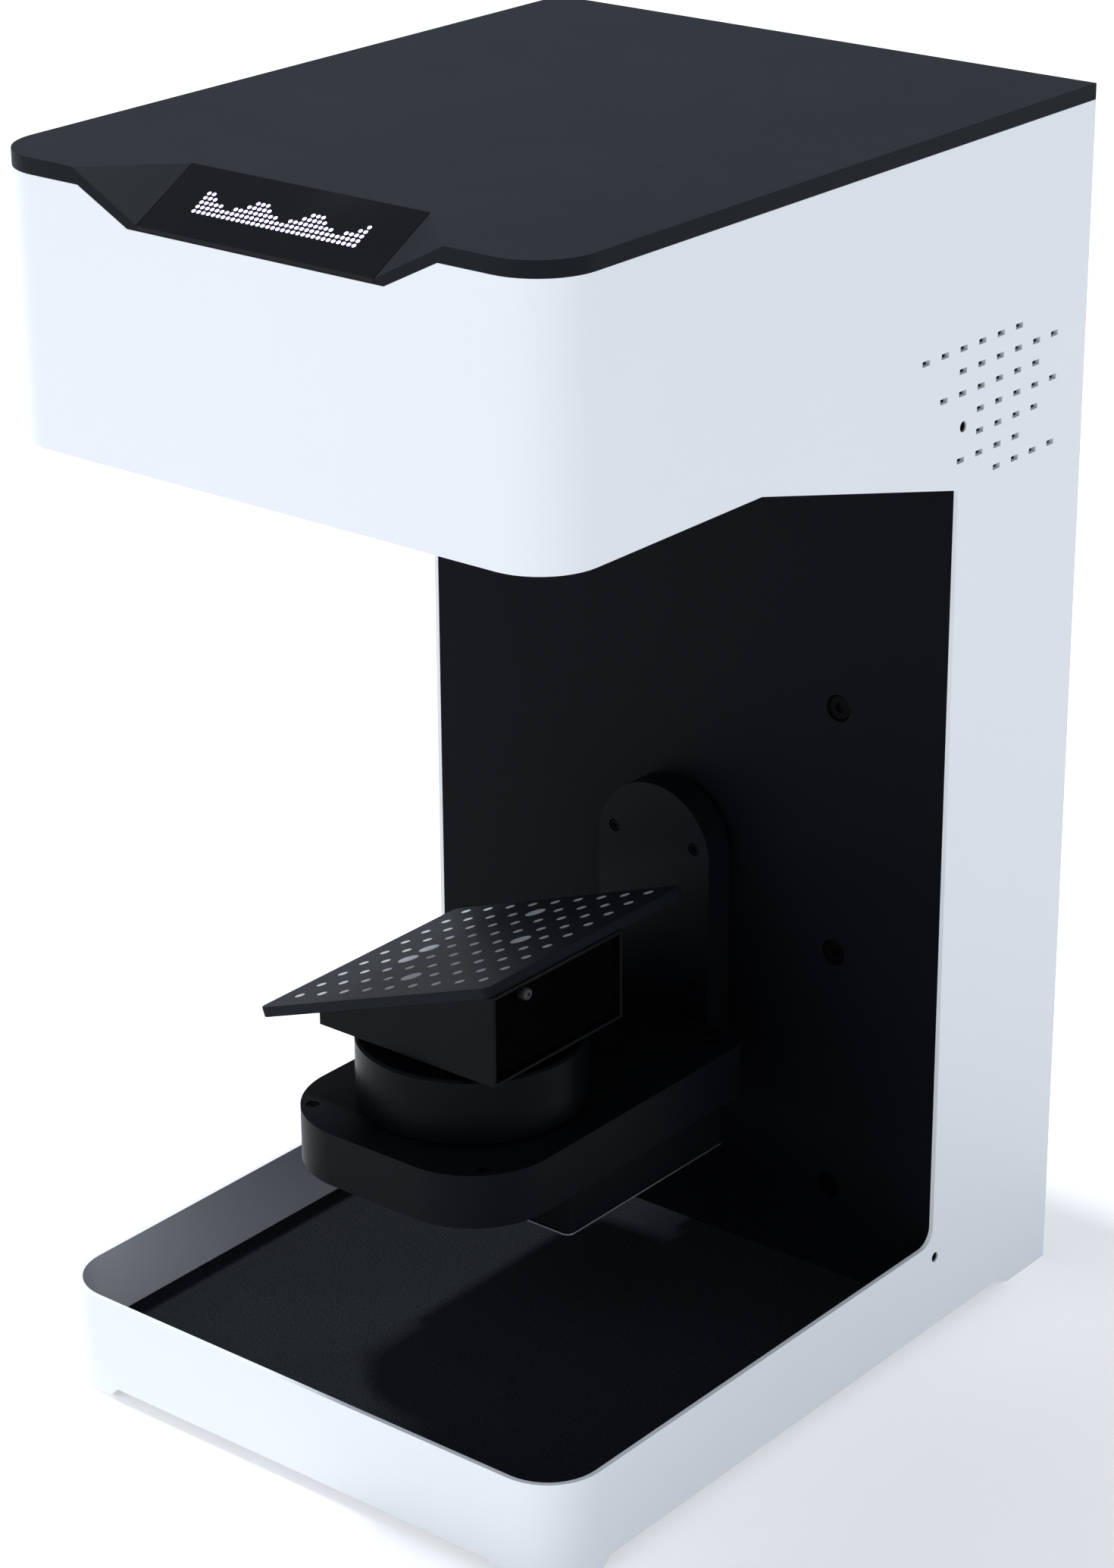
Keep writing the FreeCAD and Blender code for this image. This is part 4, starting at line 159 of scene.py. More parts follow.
# %% [markdown]
# Four effects are shared by most finishes, so each is a shader group that is
# built once. Grain gives a fine, even texture and a slow cloud of tone. Wear
# finds the edges by comparing the true normal with one from a rounded edge.
# Dust settles on what faces up. Brushing stretches a noise along one direction,
# as a file or an abrasive belt would.

# %% Shared shader groups


def shader_group(name, takes, gives):
    """An empty shader group with named float and vector sockets."""
    group = bpy.data.node_groups.new(name, "ShaderNodeTree")
    for label, kind, value in takes:
        socket = group.interface.new_socket(label, in_out="INPUT", socket_type="NodeSocket" + kind)
        if value is not None:
            socket.default_value = value
    for label, kind in gives:
        group.interface.new_socket(label, in_out="OUTPUT", socket_type="NodeSocket" + kind)
    return group, group.nodes.new("NodeGroupInput"), group.nodes.new("NodeGroupOutput")


def remap(tree, value, low, high, new_low=0.0, new_high=1.0):
    """The range low to high of a value, laid on the range new_low to new_high."""
    return add(tree, "ShaderNodeMapRange", None, {
        "Value": value, "From Min": low, "From Max": high,
        "To Min": new_low, "To Max": new_high}).outputs["Result"]


def product(tree, first, second, clamp=False):
    """Two values multiplied."""
    return add(tree, "ShaderNodeMath", {"operation": "MULTIPLY", "use_clamp": clamp},
               {0: first, 1: second}).outputs[0]


def noise(tree, vector, scale, detail, roughness=0.5):
    """A noise texture as one value."""
    return add(tree, "ShaderNodeTexNoise", None, {
        "Vector": vector, "Scale": scale, "Detail": detail, "Roughness": roughness}).outputs["Fac"]


def build_grain():
    group, given, result = shader_group("Fine grain", [
        ("Vector", "Vector", None), ("Scale", "Float", 2500.0), ("Cloud scale", "Float", 9.0)],
        [("Grain", "Float"), ("Cloud", "Float")])
    place = given.outputs["Vector"]
    group.links.new(noise(group, place, given.outputs["Scale"], 3.0), result.inputs["Grain"])
    group.links.new(noise(group, place, given.outputs["Cloud scale"], 2.0), result.inputs["Cloud"])
    return group


def build_wear():
    group, given, result = shader_group("Edge wear", [
        ("Vector", "Vector", None), ("Width", "Float", 0.0006), ("Amount", "Float", 0.5)],
        [("Mask", "Float")])
    rounded = add(group, "ShaderNodeBevel", {"samples": 4}, {"Radius": given.outputs["Width"]})
    true = add(group, "ShaderNodeNewGeometry")
    same = add(group, "ShaderNodeVectorMath", {"operation": "DOT_PRODUCT"},
               {0: rounded.outputs[0], 1: true.outputs["Normal"]})
    edge = remap(group, same.outputs["Value"], 1.0, 0.8)
    patchy = remap(group, noise(group, given.outputs["Vector"], 90.0, 3.0), 0.35, 0.65, 0.35, 1.0)
    worn = product(group, product(group, edge, patchy), given.outputs["Amount"], True)
    group.links.new(worn, result.inputs["Mask"])
    return group


def build_dust():
    group, given, result = shader_group("Settled dust", [
        ("Vector", "Vector", None), ("Amount", "Float", 0.1)], [("Mask", "Float")])
    true = add(group, "ShaderNodeNewGeometry")
    facing = add(group, "ShaderNodeSeparateXYZ", None, {0: true.outputs["Normal"]})
    level = remap(group, facing.outputs["Z"], 0.6, 1.0)
    spots = remap(group, noise(group, given.outputs["Vector"], 22.0, 6.0, 0.7), 0.4, 0.75, 0.1, 1.0)
    lying = product(group, product(group, level, spots), given.outputs["Amount"], True)
    group.links.new(lying, result.inputs["Mask"])
    return group


def build_brushing():
    group, given, result = shader_group("Brushed lines", [
        ("Vector", "Vector", None), ("Stretch", "Vector", (1.0, 1.0, 40.0)), ("Scale", "Float", 60.0)],
        [("Lines", "Float")])
    drawn = add(group, "ShaderNodeVectorMath", {"operation": "MULTIPLY"},
                {0: given.outputs["Vector"], 1: given.outputs["Stretch"]})
    lines = noise(group, drawn.outputs[0], given.outputs["Scale"], 4.0, 0.7)
    group.links.new(lines, result.inputs["Lines"])
    return group


GROUPS = {"grain": build_grain(), "wear": build_wear(), "dust": build_dust(),
          "brushing": build_brushing()}
print("Shader groups:", [group.name for group in GROUPS.values()])

# %% [markdown]
# One function makes every ordinary finish from those groups. Powder coat, matt
# plastic, anodised metal and rubber differ in tone, roughness, the size of the
# grain and how much the edges and the upper sides have changed with use. The
# values that are the same all over are set on the shader itself.

# %% The finish maker
DUST_COLOUR = (0.42, 0.41, 0.39, 1.0)
WORN_SHARE = 1.6
RELIEF_DEPTH = 0.00003


def tone(colour, share):
    """The colour made lighter or darker by a share."""
    return tuple(min(1.0, value * share) for value in colour[:3]) + (1.0,)


def blank_material(name):
    """A material with an empty tree, and the object's own coordinates in it."""
    material = bpy.data.materials.new(name)
    material.use_nodes = True
    material.node_tree.nodes.clear()
    place = add(material.node_tree, "ShaderNodeTexCoord").outputs["Object"]
    return material, material.node_tree, place


def shared(tree, effect, place, inputs):
    """One of the shared groups, set in a material with its own values."""
    return add(tree, "ShaderNodeGroup", {"node_tree": GROUPS[effect]}, {"Vector": place, **inputs})


def blend(tree, share, first, second, kind="MIX"):
    """Two colours mixed or multiplied."""
    return add(tree, "ShaderNodeMix", {"data_type": "RGBA", "blend_type": kind},
               {"Factor": share, 6: first, 7: second}).outputs[2]


def surface(material, inputs):
    """The material with one Principled shader as its surface."""
    tree = material.node_tree
    shader = add(tree, "ShaderNodeBsdfPrincipled", None, inputs)
    add(tree, "ShaderNodeOutputMaterial", None, {"Surface": shader.outputs[0]})
    return material


def finish(name, colour, roughness, metallic=0.0, specular=0.5, coat=0.0, grain=2500.0, bump=0.15,
           clouds=0.06, spread=0.06, wear=0.3, worn=None, width=0.0005, dust=0.0, brushed=None,
           speckle=0.0, glow=0.0, brighten=None):
    """A Principled material whose tone, roughness and relief vary over the surface."""
    material, tree, place = blank_material(name)
    texture = shared(tree, "grain", place, {"Scale": grain})
    relief = texture.outputs["Grain"]
    if brushed:
        relief = shared(tree, "brushing", place, {"Stretch": brushed}).outputs["Lines"]
    shown = blend(tree, texture.outputs["Cloud"], tone(colour, 1.0 - clouds), tone(colour, 1.0 + clouds))
    edge = shared(tree, "wear", place, {"Width": width, "Amount": wear})
    shown = blend(tree, edge.outputs["Mask"], shown, worn or tone(colour, WORN_SHARE))
    if speckle:
        spots = remap(tree, texture.outputs["Grain"], 0.35, 0.65, 1.0 - speckle, 1.0 + speckle)
        shown = blend(tree, 1.0, shown, spots, "MULTIPLY")
    if dust:
        lying = shared(tree, "dust", place, {"Amount": dust})
        shown = blend(tree, lying.outputs["Mask"], shown, DUST_COLOUR)
    rough = remap(tree, relief, 0.3, 0.7, max(0.02, roughness - spread), min(1.0, roughness + spread))
    raised = add(tree, "ShaderNodeBump", None, {
        "Height": relief, "Strength": bump, "Distance": RELIEF_DEPTH})
    light = (1, 1, 1, 1)
    if brighten:
        near, far, gain = brighten
        reach = add(tree, "ShaderNodeVectorMath", {"operation": "LENGTH"}, {0: place})
        light = remap(tree, reach.outputs["Value"], near, far, 1.0, gain)
    return surface(material, {
        "Base Color": shown, "Roughness": rough, "Metallic": metallic, "Specular IOR Level": specular,
        "Coat Weight": coat, "Coat Roughness": 0.15, "Normal": raised.outputs["Normal"],
        "Emission Color": light, "Emission Strength": glow})


FINISHES = {
    "white_shell": finish("White powder coat", (0.815, 0.835, 0.87), 0.42, specular=0.4, grain=1500.0,
                          bump=0.25, clouds=0.015, wear=0.35, worn=(0.93, 0.95, 0.98, 1.0),
                          width=0.0004),
    "dark_lid": finish("Slate lid", (0.0094, 0.0118, 0.0149), 0.50, specular=0.05, grain=2600.0,
                       bump=0.22, clouds=0.08, wear=0.25, worn=(0.035, 0.04, 0.048, 1.0), dust=0.006),
    "dark_panel": finish("Black panel coat", (0.0033, 0.0040, 0.0056), 0.62, specular=0.05, grain=1500.0,
                         bump=0.5, clouds=0.15, wear=0.2, dust=0.012),
    "dark_cover": finish("Black moulded cover", (0.0027, 0.0035, 0.0049), 0.42, specular=0.05,
                         grain=2200.0, bump=0.35, clouds=0.12, wear=0.45,
                         worn=(0.022, 0.025, 0.030, 1.0), dust=0.006),
    "dark_metal": finish("Black anodised metal", (0.0020, 0.0026, 0.0037), 0.36, specular=0.045,
                         grain=3000.0, bump=0.2, clouds=0.1, wear=0.6, worn=(0.035, 0.038, 0.045, 1.0)),
    "bright_metal": finish("Dull nickel", (0.26, 0.27, 0.29), 0.36, metallic=1.0, bump=0.1, wear=0.3,
                           worn=(0.46, 0.47, 0.49, 1.0), brushed=(1.0, 30.0, 30.0)),
    "target_black": finish("Board black", (0.0068, 0.0088, 0.0122), 0.50, specular=0.05, grain=3000.0,
                           bump=0.15, clouds=0.08, wear=0.5, worn=(0.06, 0.065, 0.075, 1.0),
                           width=0.0003),
    "black_screw": finish("Blackened steel", (0.0016, 0.0018, 0.0022), 0.46, specular=0.03,
                          grain=5000.0, bump=0.1, wear=0.4, worn=(0.012, 0.013, 0.015, 1.0),
                          width=0.0002),
    "zinc_sheet": finish("Zinc-plated sheet", (0.55, 0.57, 0.60), 0.36, metallic=1.0, grain=700.0,
                         bump=0.12, clouds=0.12, wear=0.2, spread=0.12),
    "rubber": finish("Foot rubber", (0.020, 0.020, 0.021), 0.82, specular=0.3, grain=1800.0, bump=0.6,
                     wear=0.3, worn=(0.06, 0.06, 0.06, 1.0)),
    "black_plastic": finish("Black plastic", (0.014, 0.014, 0.016), 0.45, grain=2400.0, bump=0.3,
                            clouds=0.08, wear=0.3, worn=(0.05, 0.05, 0.055, 1.0)),
    "lens_black": finish("Lens black", (0.008, 0.008, 0.010), 0.24, coat=0.3, grain=4000.0, bump=0.08,
                         wear=0.3, worn=(0.05, 0.05, 0.055, 1.0)),
    "bearing_steel": finish("Bearing steel", (0.62, 0.63, 0.65), 0.14, metallic=1.0, bump=0.05,
                            wear=0.1, brushed=(40.0, 1.0, 40.0)),
    "gear_steel": finish("Machined steel", (0.48, 0.49, 0.51), 0.32, metallic=1.0, bump=0.2, wear=0.3,
                         worn=(0.75, 0.76, 0.78, 1.0), brushed=(30.0, 1.0, 30.0)),
    "gear_brass": finish("Machined brass", (0.66, 0.49, 0.20), 0.28, metallic=1.0, bump=0.15, wear=0.3,
                         worn=(0.85, 0.70, 0.38, 1.0), brushed=(30.0, 1.0, 30.0)),
    "motor_black": finish("Motor black", (0.020, 0.020, 0.022), 0.40, grain=1600.0, bump=0.3, wear=0.5,
                          worn=(0.12, 0.12, 0.13, 1.0)),
    "plate_metal": finish("Milled aluminium", (0.62, 0.64, 0.66), 0.34, metallic=1.0, bump=0.15,
                          wear=0.3, worn=(0.82, 0.83, 0.85, 1.0), brushed=(1.0, 25.0, 25.0)),
}
# Nickel darkened to paint the shade the thumb screw sits in, on the unlit end of the wedge; its edges
# still show wear.
FINISHES["nickel_in_painted_shade"] = finish("Nickel in painted shade", (0.060, 0.064, 0.068), 0.55, metallic=1.0, bump=0.1,
                                 wear=0.2, worn=(0.12, 0.125, 0.13, 1.0))
# Its edges are lightened a little: partly wear, partly a painted highlight along the rim of its front.
FINISHES["arch_coat"] = finish("Black arch coat", (0.0036, 0.0046, 0.0064), 0.42, specular=0.05,
                               grain=2200.0, bump=0.35, clouds=0.12, wear=0.3, dust=0.006)
FINISHES["bay_floor"] = finish("Speckled bay floor", (0.0128, 0.0148, 0.0178), 0.66, specular=0.02,
                               grain=1100.0, bump=0.5, clouds=0.18, wear=0.1, speckle=0.38)
# Near black that paints the shade on the unlit right end of the wedge.
FINISHES["painted_shade_black"] = finish("Painted shade black", (0.0006, 0.0006, 0.0007), 0.7, specular=0.01,
                                grain=2600.0, bump=0.3, clouds=0.2, wear=0.2)
FINISHES["target_dots"] = finish("Printed white dots", (0.42, 0.44, 0.47), 0.6, specular=0.2,
                                 grain=6000.0, bump=0.05, clouds=0.08, wear=0.0)
FINISHES["floor"] = finish("Studio floor", (0.90, 0.905, 0.91), 0.9, specular=0.1, grain=400.0,
                           bump=0.02, clouds=0.005, wear=0.0, glow=0.32, brighten=(0.5, 2.2, 2.0))
floor_mesh.materials.append(FINISHES["floor"])
print("Finishes:", len(FINISHES))

# %% [markdown]
# Glass and printed circuits don't fit that recipe. Window glass lets light
# through, so the lenses show behind it. The display is a dark pane that lets
# nothing through. A circuit board is green lacquer over copper tracks, and
# narrow bricks make a quick stand-in for the tracks.

# %% Glass, display and circuit finishes


def glass(name, tint, roughness, thin, specular=0.5, coat=0.3):
    """Clear or coated glass with faint smears in its roughness."""
    material, tree, place = blank_material(name)
    smears = shared(tree, "grain", place, {"Scale": 40.0, "Cloud scale": 14.0})
    rough = remap(tree, smears.outputs["Cloud"], 0.35, 0.7, roughness, roughness * 3.0)
    return surface(material, {
        "Base Color": tint, "Roughness": rough, "IOR": 1.5, "Transmission Weight": thin,
        "Specular IOR Level": specular, "Coat Weight": coat, "Coat Roughness": 0.03})


def circuit(name):
    """Green solder mask with paler tracks under it."""
    material, tree, place = blank_material(name)
    turned = add(tree, "ShaderNodeMapping", None, {"Vector": place, "Rotation": (math.pi / 2, 0, 0)})
    tracks = add(tree, "ShaderNodeTexBrick", None, {
        "Vector": turned.outputs[0], "Color1": (0.010, 0.085, 0.040, 1),
        "Color2": (0.014, 0.100, 0.050, 1), "Mortar": (0.030, 0.170, 0.085, 1), "Scale": 90.0,
        "Mortar Size": 0.03})
    texture = shared(tree, "grain", place, {"Scale": 900.0})
    raised = add(tree, "ShaderNodeBump", None, {
        "Height": tracks.outputs["Fac"], "Strength": 0.3, "Distance": RELIEF_DEPTH})
    rough = remap(tree, texture.outputs["Grain"], 0.0, 1.0, 0.2, 0.36)
    return surface(material, {
        "Base Color": tracks.outputs["Color"], "Roughness": rough, "Normal": raised.outputs["Normal"]})


def lit(name, colour, strength):
    """Light from behind the display glass, slightly uneven from lamp to lamp."""
    material, tree, place = blank_material(name)
    texture = shared(tree, "grain", place, {"Scale": 500.0, "Cloud scale": 60.0})
    shade = blend(tree, texture.outputs["Cloud"], tone(colour, 0.8), tone(colour, 1.1))
    return surface(material, {
        "Base Color": shade, "Emission Color": shade, "Emission Strength": strength, "Roughness": 0.3})


FINISHES["window_glass"] = glass("Window glass", (0.92, 0.96, 0.98, 1.0), 0.01, 0.9)
FINISHES["lens_glass"] = glass("Coated lens glass", (0.05, 0.03, 0.10, 1.0), 0.02, 0.0)
FINISHES["display_glass"] = glass("Display glass", (0.0022, 0.0028, 0.0038, 1.0), 0.05, 0.0, 0.12, 0.0)
FINISHES["circuit"] = circuit("Circuit board")
FINISHES["display_glow"] = lit("Display glow", (0.72, 0.62, 1.0), 1.1)
print("Finishes with glass, circuit and display:", len(FINISHES))

# %% [markdown]
# Every CAD node starts with the finish of its own slot in the record. Later
# cells replace the nodes that the camera sees best with smoother copies.

# %% Finishes on the CAD nodes
SLOT_OF = {entry["node"]: entry["material_slot"] for entry in frame["record"]["subparts"]}
BODIES = frame["record"]["behaviour"]["bodies"]
BODY_OF = {node: body for body, nodes in BODIES.items() for node in nodes}
for node, thing in frame["nodes"].items():
    thing.data.materials.clear()
    thing.data.materials.append(FINISHES[SLOT_OF[node]])
print("Nodes with a finish:", len(frame["nodes"]))

# %% [markdown]
# The imported meshes are loose triangles, so a curved wall shows its flat facets
# and every edge is knife sharp. Folded sheet and moulded plastic have small
# round edges that catch a thin line of light. A copy of the mesh is merged,
# its flat triangles are joined into whole faces, and a Bevel modifier rounds
# the edges. That keeps the exact shape and adds the highlight.

# %% Smooth copies of the visible shells
# Three pieces have a tone of their own in the photograph: the bay floor, the arch cover, and the wedge's
# end cover, whose near black is painted shade for the wedge's unlit right end.
OWN_FINISH = {"floor_plate": "bay_floor", "wedge_end_cover": "painted_shade_black", "arch_cover": "arch_coat"}
MERGE_DISTANCE = 0.000002
FLAT_ANGLE = math.radians(0.4)
SHARP_ANGLE = math.radians(28)
EDGE_SEGMENTS = 2


def merged_copy(node, name):
    """The node's mesh as one closed surface with whole flat faces and no stored normals."""
    work = bmesh.new()
    work.from_mesh(frame["nodes"][node].data)
    bmesh.ops.remove_doubles(work, verts=work.verts, dist=MERGE_DISTANCE)
    bmesh.ops.dissolve_limit(work, angle_limit=FLAT_ANGLE, verts=work.verts, edges=work.edges)
    work.verts.index_update()
    corners = [vert.co[:] for vert in work.verts]
    faces = [[vert.index for vert in face.verts] for face in work.faces]
    work.free()
    mesh = bpy.data.meshes.new(name)
    mesh.from_pydata(corners, [], faces)
    mesh.materials.append(FINISHES[OWN_FINISH.get(node, SLOT_OF[node])])
    return mesh


def settle(piece, body, slot, *nodes):
    """The piece rides on its body and stands for the CAD nodes. The slot it is given is not used."""
    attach(piece, body)
    if nodes:
        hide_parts(*nodes)
    return piece


def smooth_piece(node, name, radius):
    """A smooth-shaded copy of a CAD node that stands for it."""
    mesh = merged_copy(node, name)
    piece = stand(name, mesh)
    mesh.polygons.foreach_set("use_smooth", [True] * len(mesh.polygons))
    if radius:
        edge = piece.modifiers.new("Rounded edges", "BEVEL")
        edge.width = radius
        edge.segments = EDGE_SEGMENTS
        edge.limit_method = "ANGLE"
        edge.angle_limit = SHARP_ANGLE
        edge.harden_normals = True
        edge.use_clamp_overlap = True
    else:
        mesh.set_sharp_from_angle(angle=SHARP_ANGLE)
    return settle(piece, BODY_OF[node], SLOT_OF[node], node)


SMOOTH = {
    "outer_shell": ("shell_wall", 0.00035),
    "top_lid": ("lid_plate", 0.0002),
    "back_cover": ("rear_cover", 0.0003),
    "rear_panel": ("bay_panel", 0.0004),
    "floor_plate": ("bay_floor", 0.0003),
    "head_underside": ("head_floor", 0.0003),
    "base_tray": ("bottom_tray", 0.0004),
    "arm_cover": ("arm_cap", 0.0006),
    "arm_bottom_plate": ("arm_closing_plate", 0.0003),
    "arch_cover": ("arch_cap", 0.0006),
    "arm_bracket": ("arm_carrier", 0.0006),
    "motor_pod": ("motor_cap", 0.0006),
    "pod_bottom_plate": ("motor_cap_trim", 0.00015),
    "turntable_ring": ("bearing_ring", 0.0005),
    "turntable_drum": ("table_drum", 0.0),
    "adapter_disc": ("table_adapter", 0.0004),
    "wedge_block": ("wedge_body", 0.0004),
    "wedge_end_cover": ("wedge_cover", 0.0002),
    "calibration_board": ("dotted_plate", 0.0003),
    "rubber_feet": ("foot_pads", 0.0006),
    "power_inlet": ("inlet_socket", 0.0004),
    "usb_socket": ("data_socket", 0.0002),
    "switch_case": ("switch_frame", 0.0004),
    "switch_rocker": ("switch_key", 0.0005),
    "projector_lens": ("projector_barrel", 0.0003),
    "camera_lenses": ("camera_barrels", 0.0003),
    "projector_body": ("projector_case", 0.0004),
    "left_camera": ("camera_case_left", 0.0006),
    "right_camera": ("camera_case_right", 0.0006),
    "optical_bench": ("optics_carrier", 0.0005),
    "swing_shaft": ("swing_axle", 0.0004),
    "swing_gear": ("swing_wheel", 0.0),
    "swing_pinion": ("swing_small_wheel", 0.0),
    "swing_bearing_housing": ("swing_bearing_block", 0.0005),
    "swing_bearings": ("swing_bearing_rings", 0.0004),
    "turntable_bearings": ("table_bearing_rings", 0.0004),
    "turntable_gear": ("table_wheel", 0.0),
    "turntable_pinion": ("table_small_wheel", 0.0),
    "turntable_spindle": ("table_axle", 0.0004),
    "fan_frame": ("fan_case", 0.0003),
    "fan_rotor": ("fan_blades", 0.0),
}
for node, (name, radius) in SMOOTH.items():
    made = smooth_piece(node, name, radius)
    print("%-22s %6d faces" % (name, len(made.data.polygons)))

# %% [markdown]
# The screws are one design in five sizes: a low round head with a chamfer and
# a hexagon socket, on a plain shank. They are what Geometry Nodes are for,
# because one tree makes a screw from six named sizes and sets it on every
# point. Each screw stops at its own angle, as after a hand-tightened assembly,
# and the seed keeps those angles the same each time.

# %% The screw tree
HEAD_SIDES = 48
SHANK_SIDES = 24
BARREL_SHARE = 0.7
RIM_SHARE = 0.3
RIM_TOP_SHARE = 0.87


def geometry_tree(name, sizes):
    """An empty geometry tree with named inputs, in the order given."""
    tree = bpy.data.node_groups.new(name, "GeometryNodeTree")
    tree.interface.new_socket("Geometry", in_out="INPUT", socket_type="NodeSocketGeometry")
    for label, kind in sizes:
        tree.interface.new_socket(label, in_out="INPUT", socket_type="NodeSocket" + kind)
    tree.interface.new_socket("Geometry", in_out="OUTPUT", socket_type="NodeSocketGeometry")
    return tree, tree.nodes.new("NodeGroupInput"), tree.nodes.new("NodeGroupOutput")


def copy_on_points(tree, given, result, item, inputs):
    """One copy of the item on every point, as plain mesh in the finish that is given."""
    placed = add(tree, "GeometryNodeInstanceOnPoints", None, {
        "Points": given.outputs["Geometry"], "Instance": item, **inputs})
    real = add(tree, "GeometryNodeRealizeInstances", None, {"Geometry": placed.outputs[0]})
    coated = add(tree, "GeometryNodeSetMaterial", None, {
        "Geometry": real.outputs[0], "Material": given.outputs["Finish"]})
    tree.links.new(coated.outputs[0], result.inputs["Geometry"])


def cylinder(tree, sides, radius, depth):
    return add(tree, "GeometryNodeMeshCylinder", None,
               {"Vertices": sides, "Radius": radius, "Depth": depth}).outputs["Mesh"]


def facing_way(tree, way):
    return add(tree, "FunctionNodeAlignRotationToVector", {"axis": "Z"}, {"Vector": way}).outputs[0]


def build_screw_tree():
    tree, given, result = geometry_tree("Socket screws", [
        ("Head radius", "Float"), ("Head height", "Float"), ("Key radius", "Float"),
        ("Key depth", "Float"), ("Shank radius", "Float"), ("Shank length", "Float"),
        ("Facing", "Vector"), ("Seed", "Int"), ("Finish", "Material")])
    get = given.outputs

    def lifted(mesh, height):
        offset = add(tree, "ShaderNodeCombineXYZ", None, {"Z": height})
        return add(tree, "GeometryNodeTransform", None,
                   {"Geometry": mesh, "Translation": offset.outputs[0]}).outputs[0]

    low = product(tree, get["Head height"], BARREL_SHARE)
    barrel = cylinder(tree, HEAD_SIDES, get["Head radius"], low)
    rim = add(tree, "GeometryNodeMeshCone", None, {
        "Vertices": HEAD_SIDES, "Radius Bottom": get["Head radius"],
        "Radius Top": product(tree, get["Head radius"], RIM_TOP_SHARE),
        "Depth": product(tree, get["Head height"], RIM_SHARE)})
    head = add(tree, "GeometryNodeMeshBoolean", {"operation": "UNION"},
               {"Mesh 2": lifted(barrel, product(tree, low, 0.5))})
    tree.links.new(lifted(rim.outputs["Mesh"], low), head.inputs["Mesh 2"])
    socket = cylinder(tree, 6, get["Key radius"], product(tree, get["Key depth"], 2.0))
    hollow = add(tree, "GeometryNodeMeshBoolean", {"operation": "DIFFERENCE"}, {
        "Mesh 1": head.outputs["Mesh"], "Mesh 2": lifted(socket, get["Head height"])})
    shank = cylinder(tree, SHANK_SIDES, get["Shank radius"], get["Shank length"])
    screw = add(tree, "GeometryNodeJoinGeometry", None, {"Geometry": hollow.outputs["Mesh"]})
    tree.links.new(lifted(shank, product(tree, get["Shank length"], -0.5)), screw.inputs["Geometry"])
    angle = add(tree, "FunctionNodeRandomValue", {"data_type": "FLOAT"}, {
        2: 0.0, 3: 2 * math.pi, "Seed": get["Seed"]})
    twist = add(tree, "FunctionNodeAxisAngleToRotation", None,
                {"Axis": (0, 0, 1), "Angle": angle.outputs[1]})
    turned = add(tree, "FunctionNodeRotateRotation", {"rotation_space": "LOCAL"}, {
        "Rotation": facing_way(tree, get["Facing"]), "Rotate By": twist.outputs[0]})
    copy_on_points(tree, given, result, screw.outputs[0], {"Rotation": turned.outputs[0]})
    return tree


def shade_smooth(mesh):
    """Smooth shading with a crisp line at every sharp edge."""
    mesh.polygons.foreach_set("use_smooth", [True] * len(mesh.polygons))
    mesh.set_sharp_from_angle(angle=SHARP_ANGLE)


def from_points(name, tree, points, values, shares=None):
    """One plain mesh object that a geometry tree makes on a list of points."""
    seeds = bpy.data.meshes.new(name)
    seeds.from_pydata([tuple(point) for point in points], [], [])
    if shares:
        share = seeds.attributes.new("share", "FLOAT", "POINT")
        share.data.foreach_set("value", shares)
    piece = stand(name, seeds)
    nodes = piece.modifiers.new("Repeat", "NODES")
    nodes.node_group = tree
    for item in tree.interface.items_tree:
        if item.in_out == "INPUT" and item.name in values:
            nodes[item.identifier] = values[item.name]
    depsgraph = bpy.context.evaluated_depsgraph_get()
    made = bpy.data.meshes.new_from_object(piece.evaluated_get(depsgraph))
    piece.modifiers.remove(nodes)
    piece.data = made
    made.name = name
    shade_smooth(made)
    print("%-22s %6d faces" % (name, len(made.polygons)))
    return piece


SCREW_TREE = build_screw_tree()

# %% [markdown]
# Every row of screws stands where its CAD node has it, on the same body. The
# sizes are those of common metric screws: 6 mm low heads hold the panel, 3 mm
# ones the arm and the arch. All three sit sunk in their holes, so from the
# front they read as dark dots, and small flush ones hold the sides of the shell.

# %% The screws
KEY_DEPTH_SHARE = 0.62
ROWS = range(3)
BOTH_SIDES = (-1, 1)
# Head radius, head height, key radius, shank radius and shank length, in metres.
PANEL_SIZES = (0.0056, 0.002, 0.0023, 0.0029, 0.009)
ARM_SIZES = (0.0026, 0.001, 0.00135, 0.0015, 0.0171)
ARCH_SIZES = (0.0026, 0.001, 0.00135, 0.0015, 0.0066)
BACK_SIZES = (0.003, 0.0017, 0.0015, 0.0015, 0.006)
SIDE_SIZES = (0.0022, 0.0014, 0.0011, 0.00125, 0.0076)


def screw_row(name, node, points, facing, sizes, seed):
    """A row of screws that stands for one CAD node, or for one side of it."""
    head, height, key, shank, length = sizes
    piece = from_points(name, SCREW_TREE, points, {
        "Head radius": head, "Head height": height, "Key radius": key,
        "Key depth": height * KEY_DEPTH_SHARE, "Shank radius": shank, "Shank length": length,
        "Facing": facing, "Seed": seed, "Finish": FINISHES["black_screw"]})
    settle(piece, BODY_OF[node], SLOT_OF[node], node)


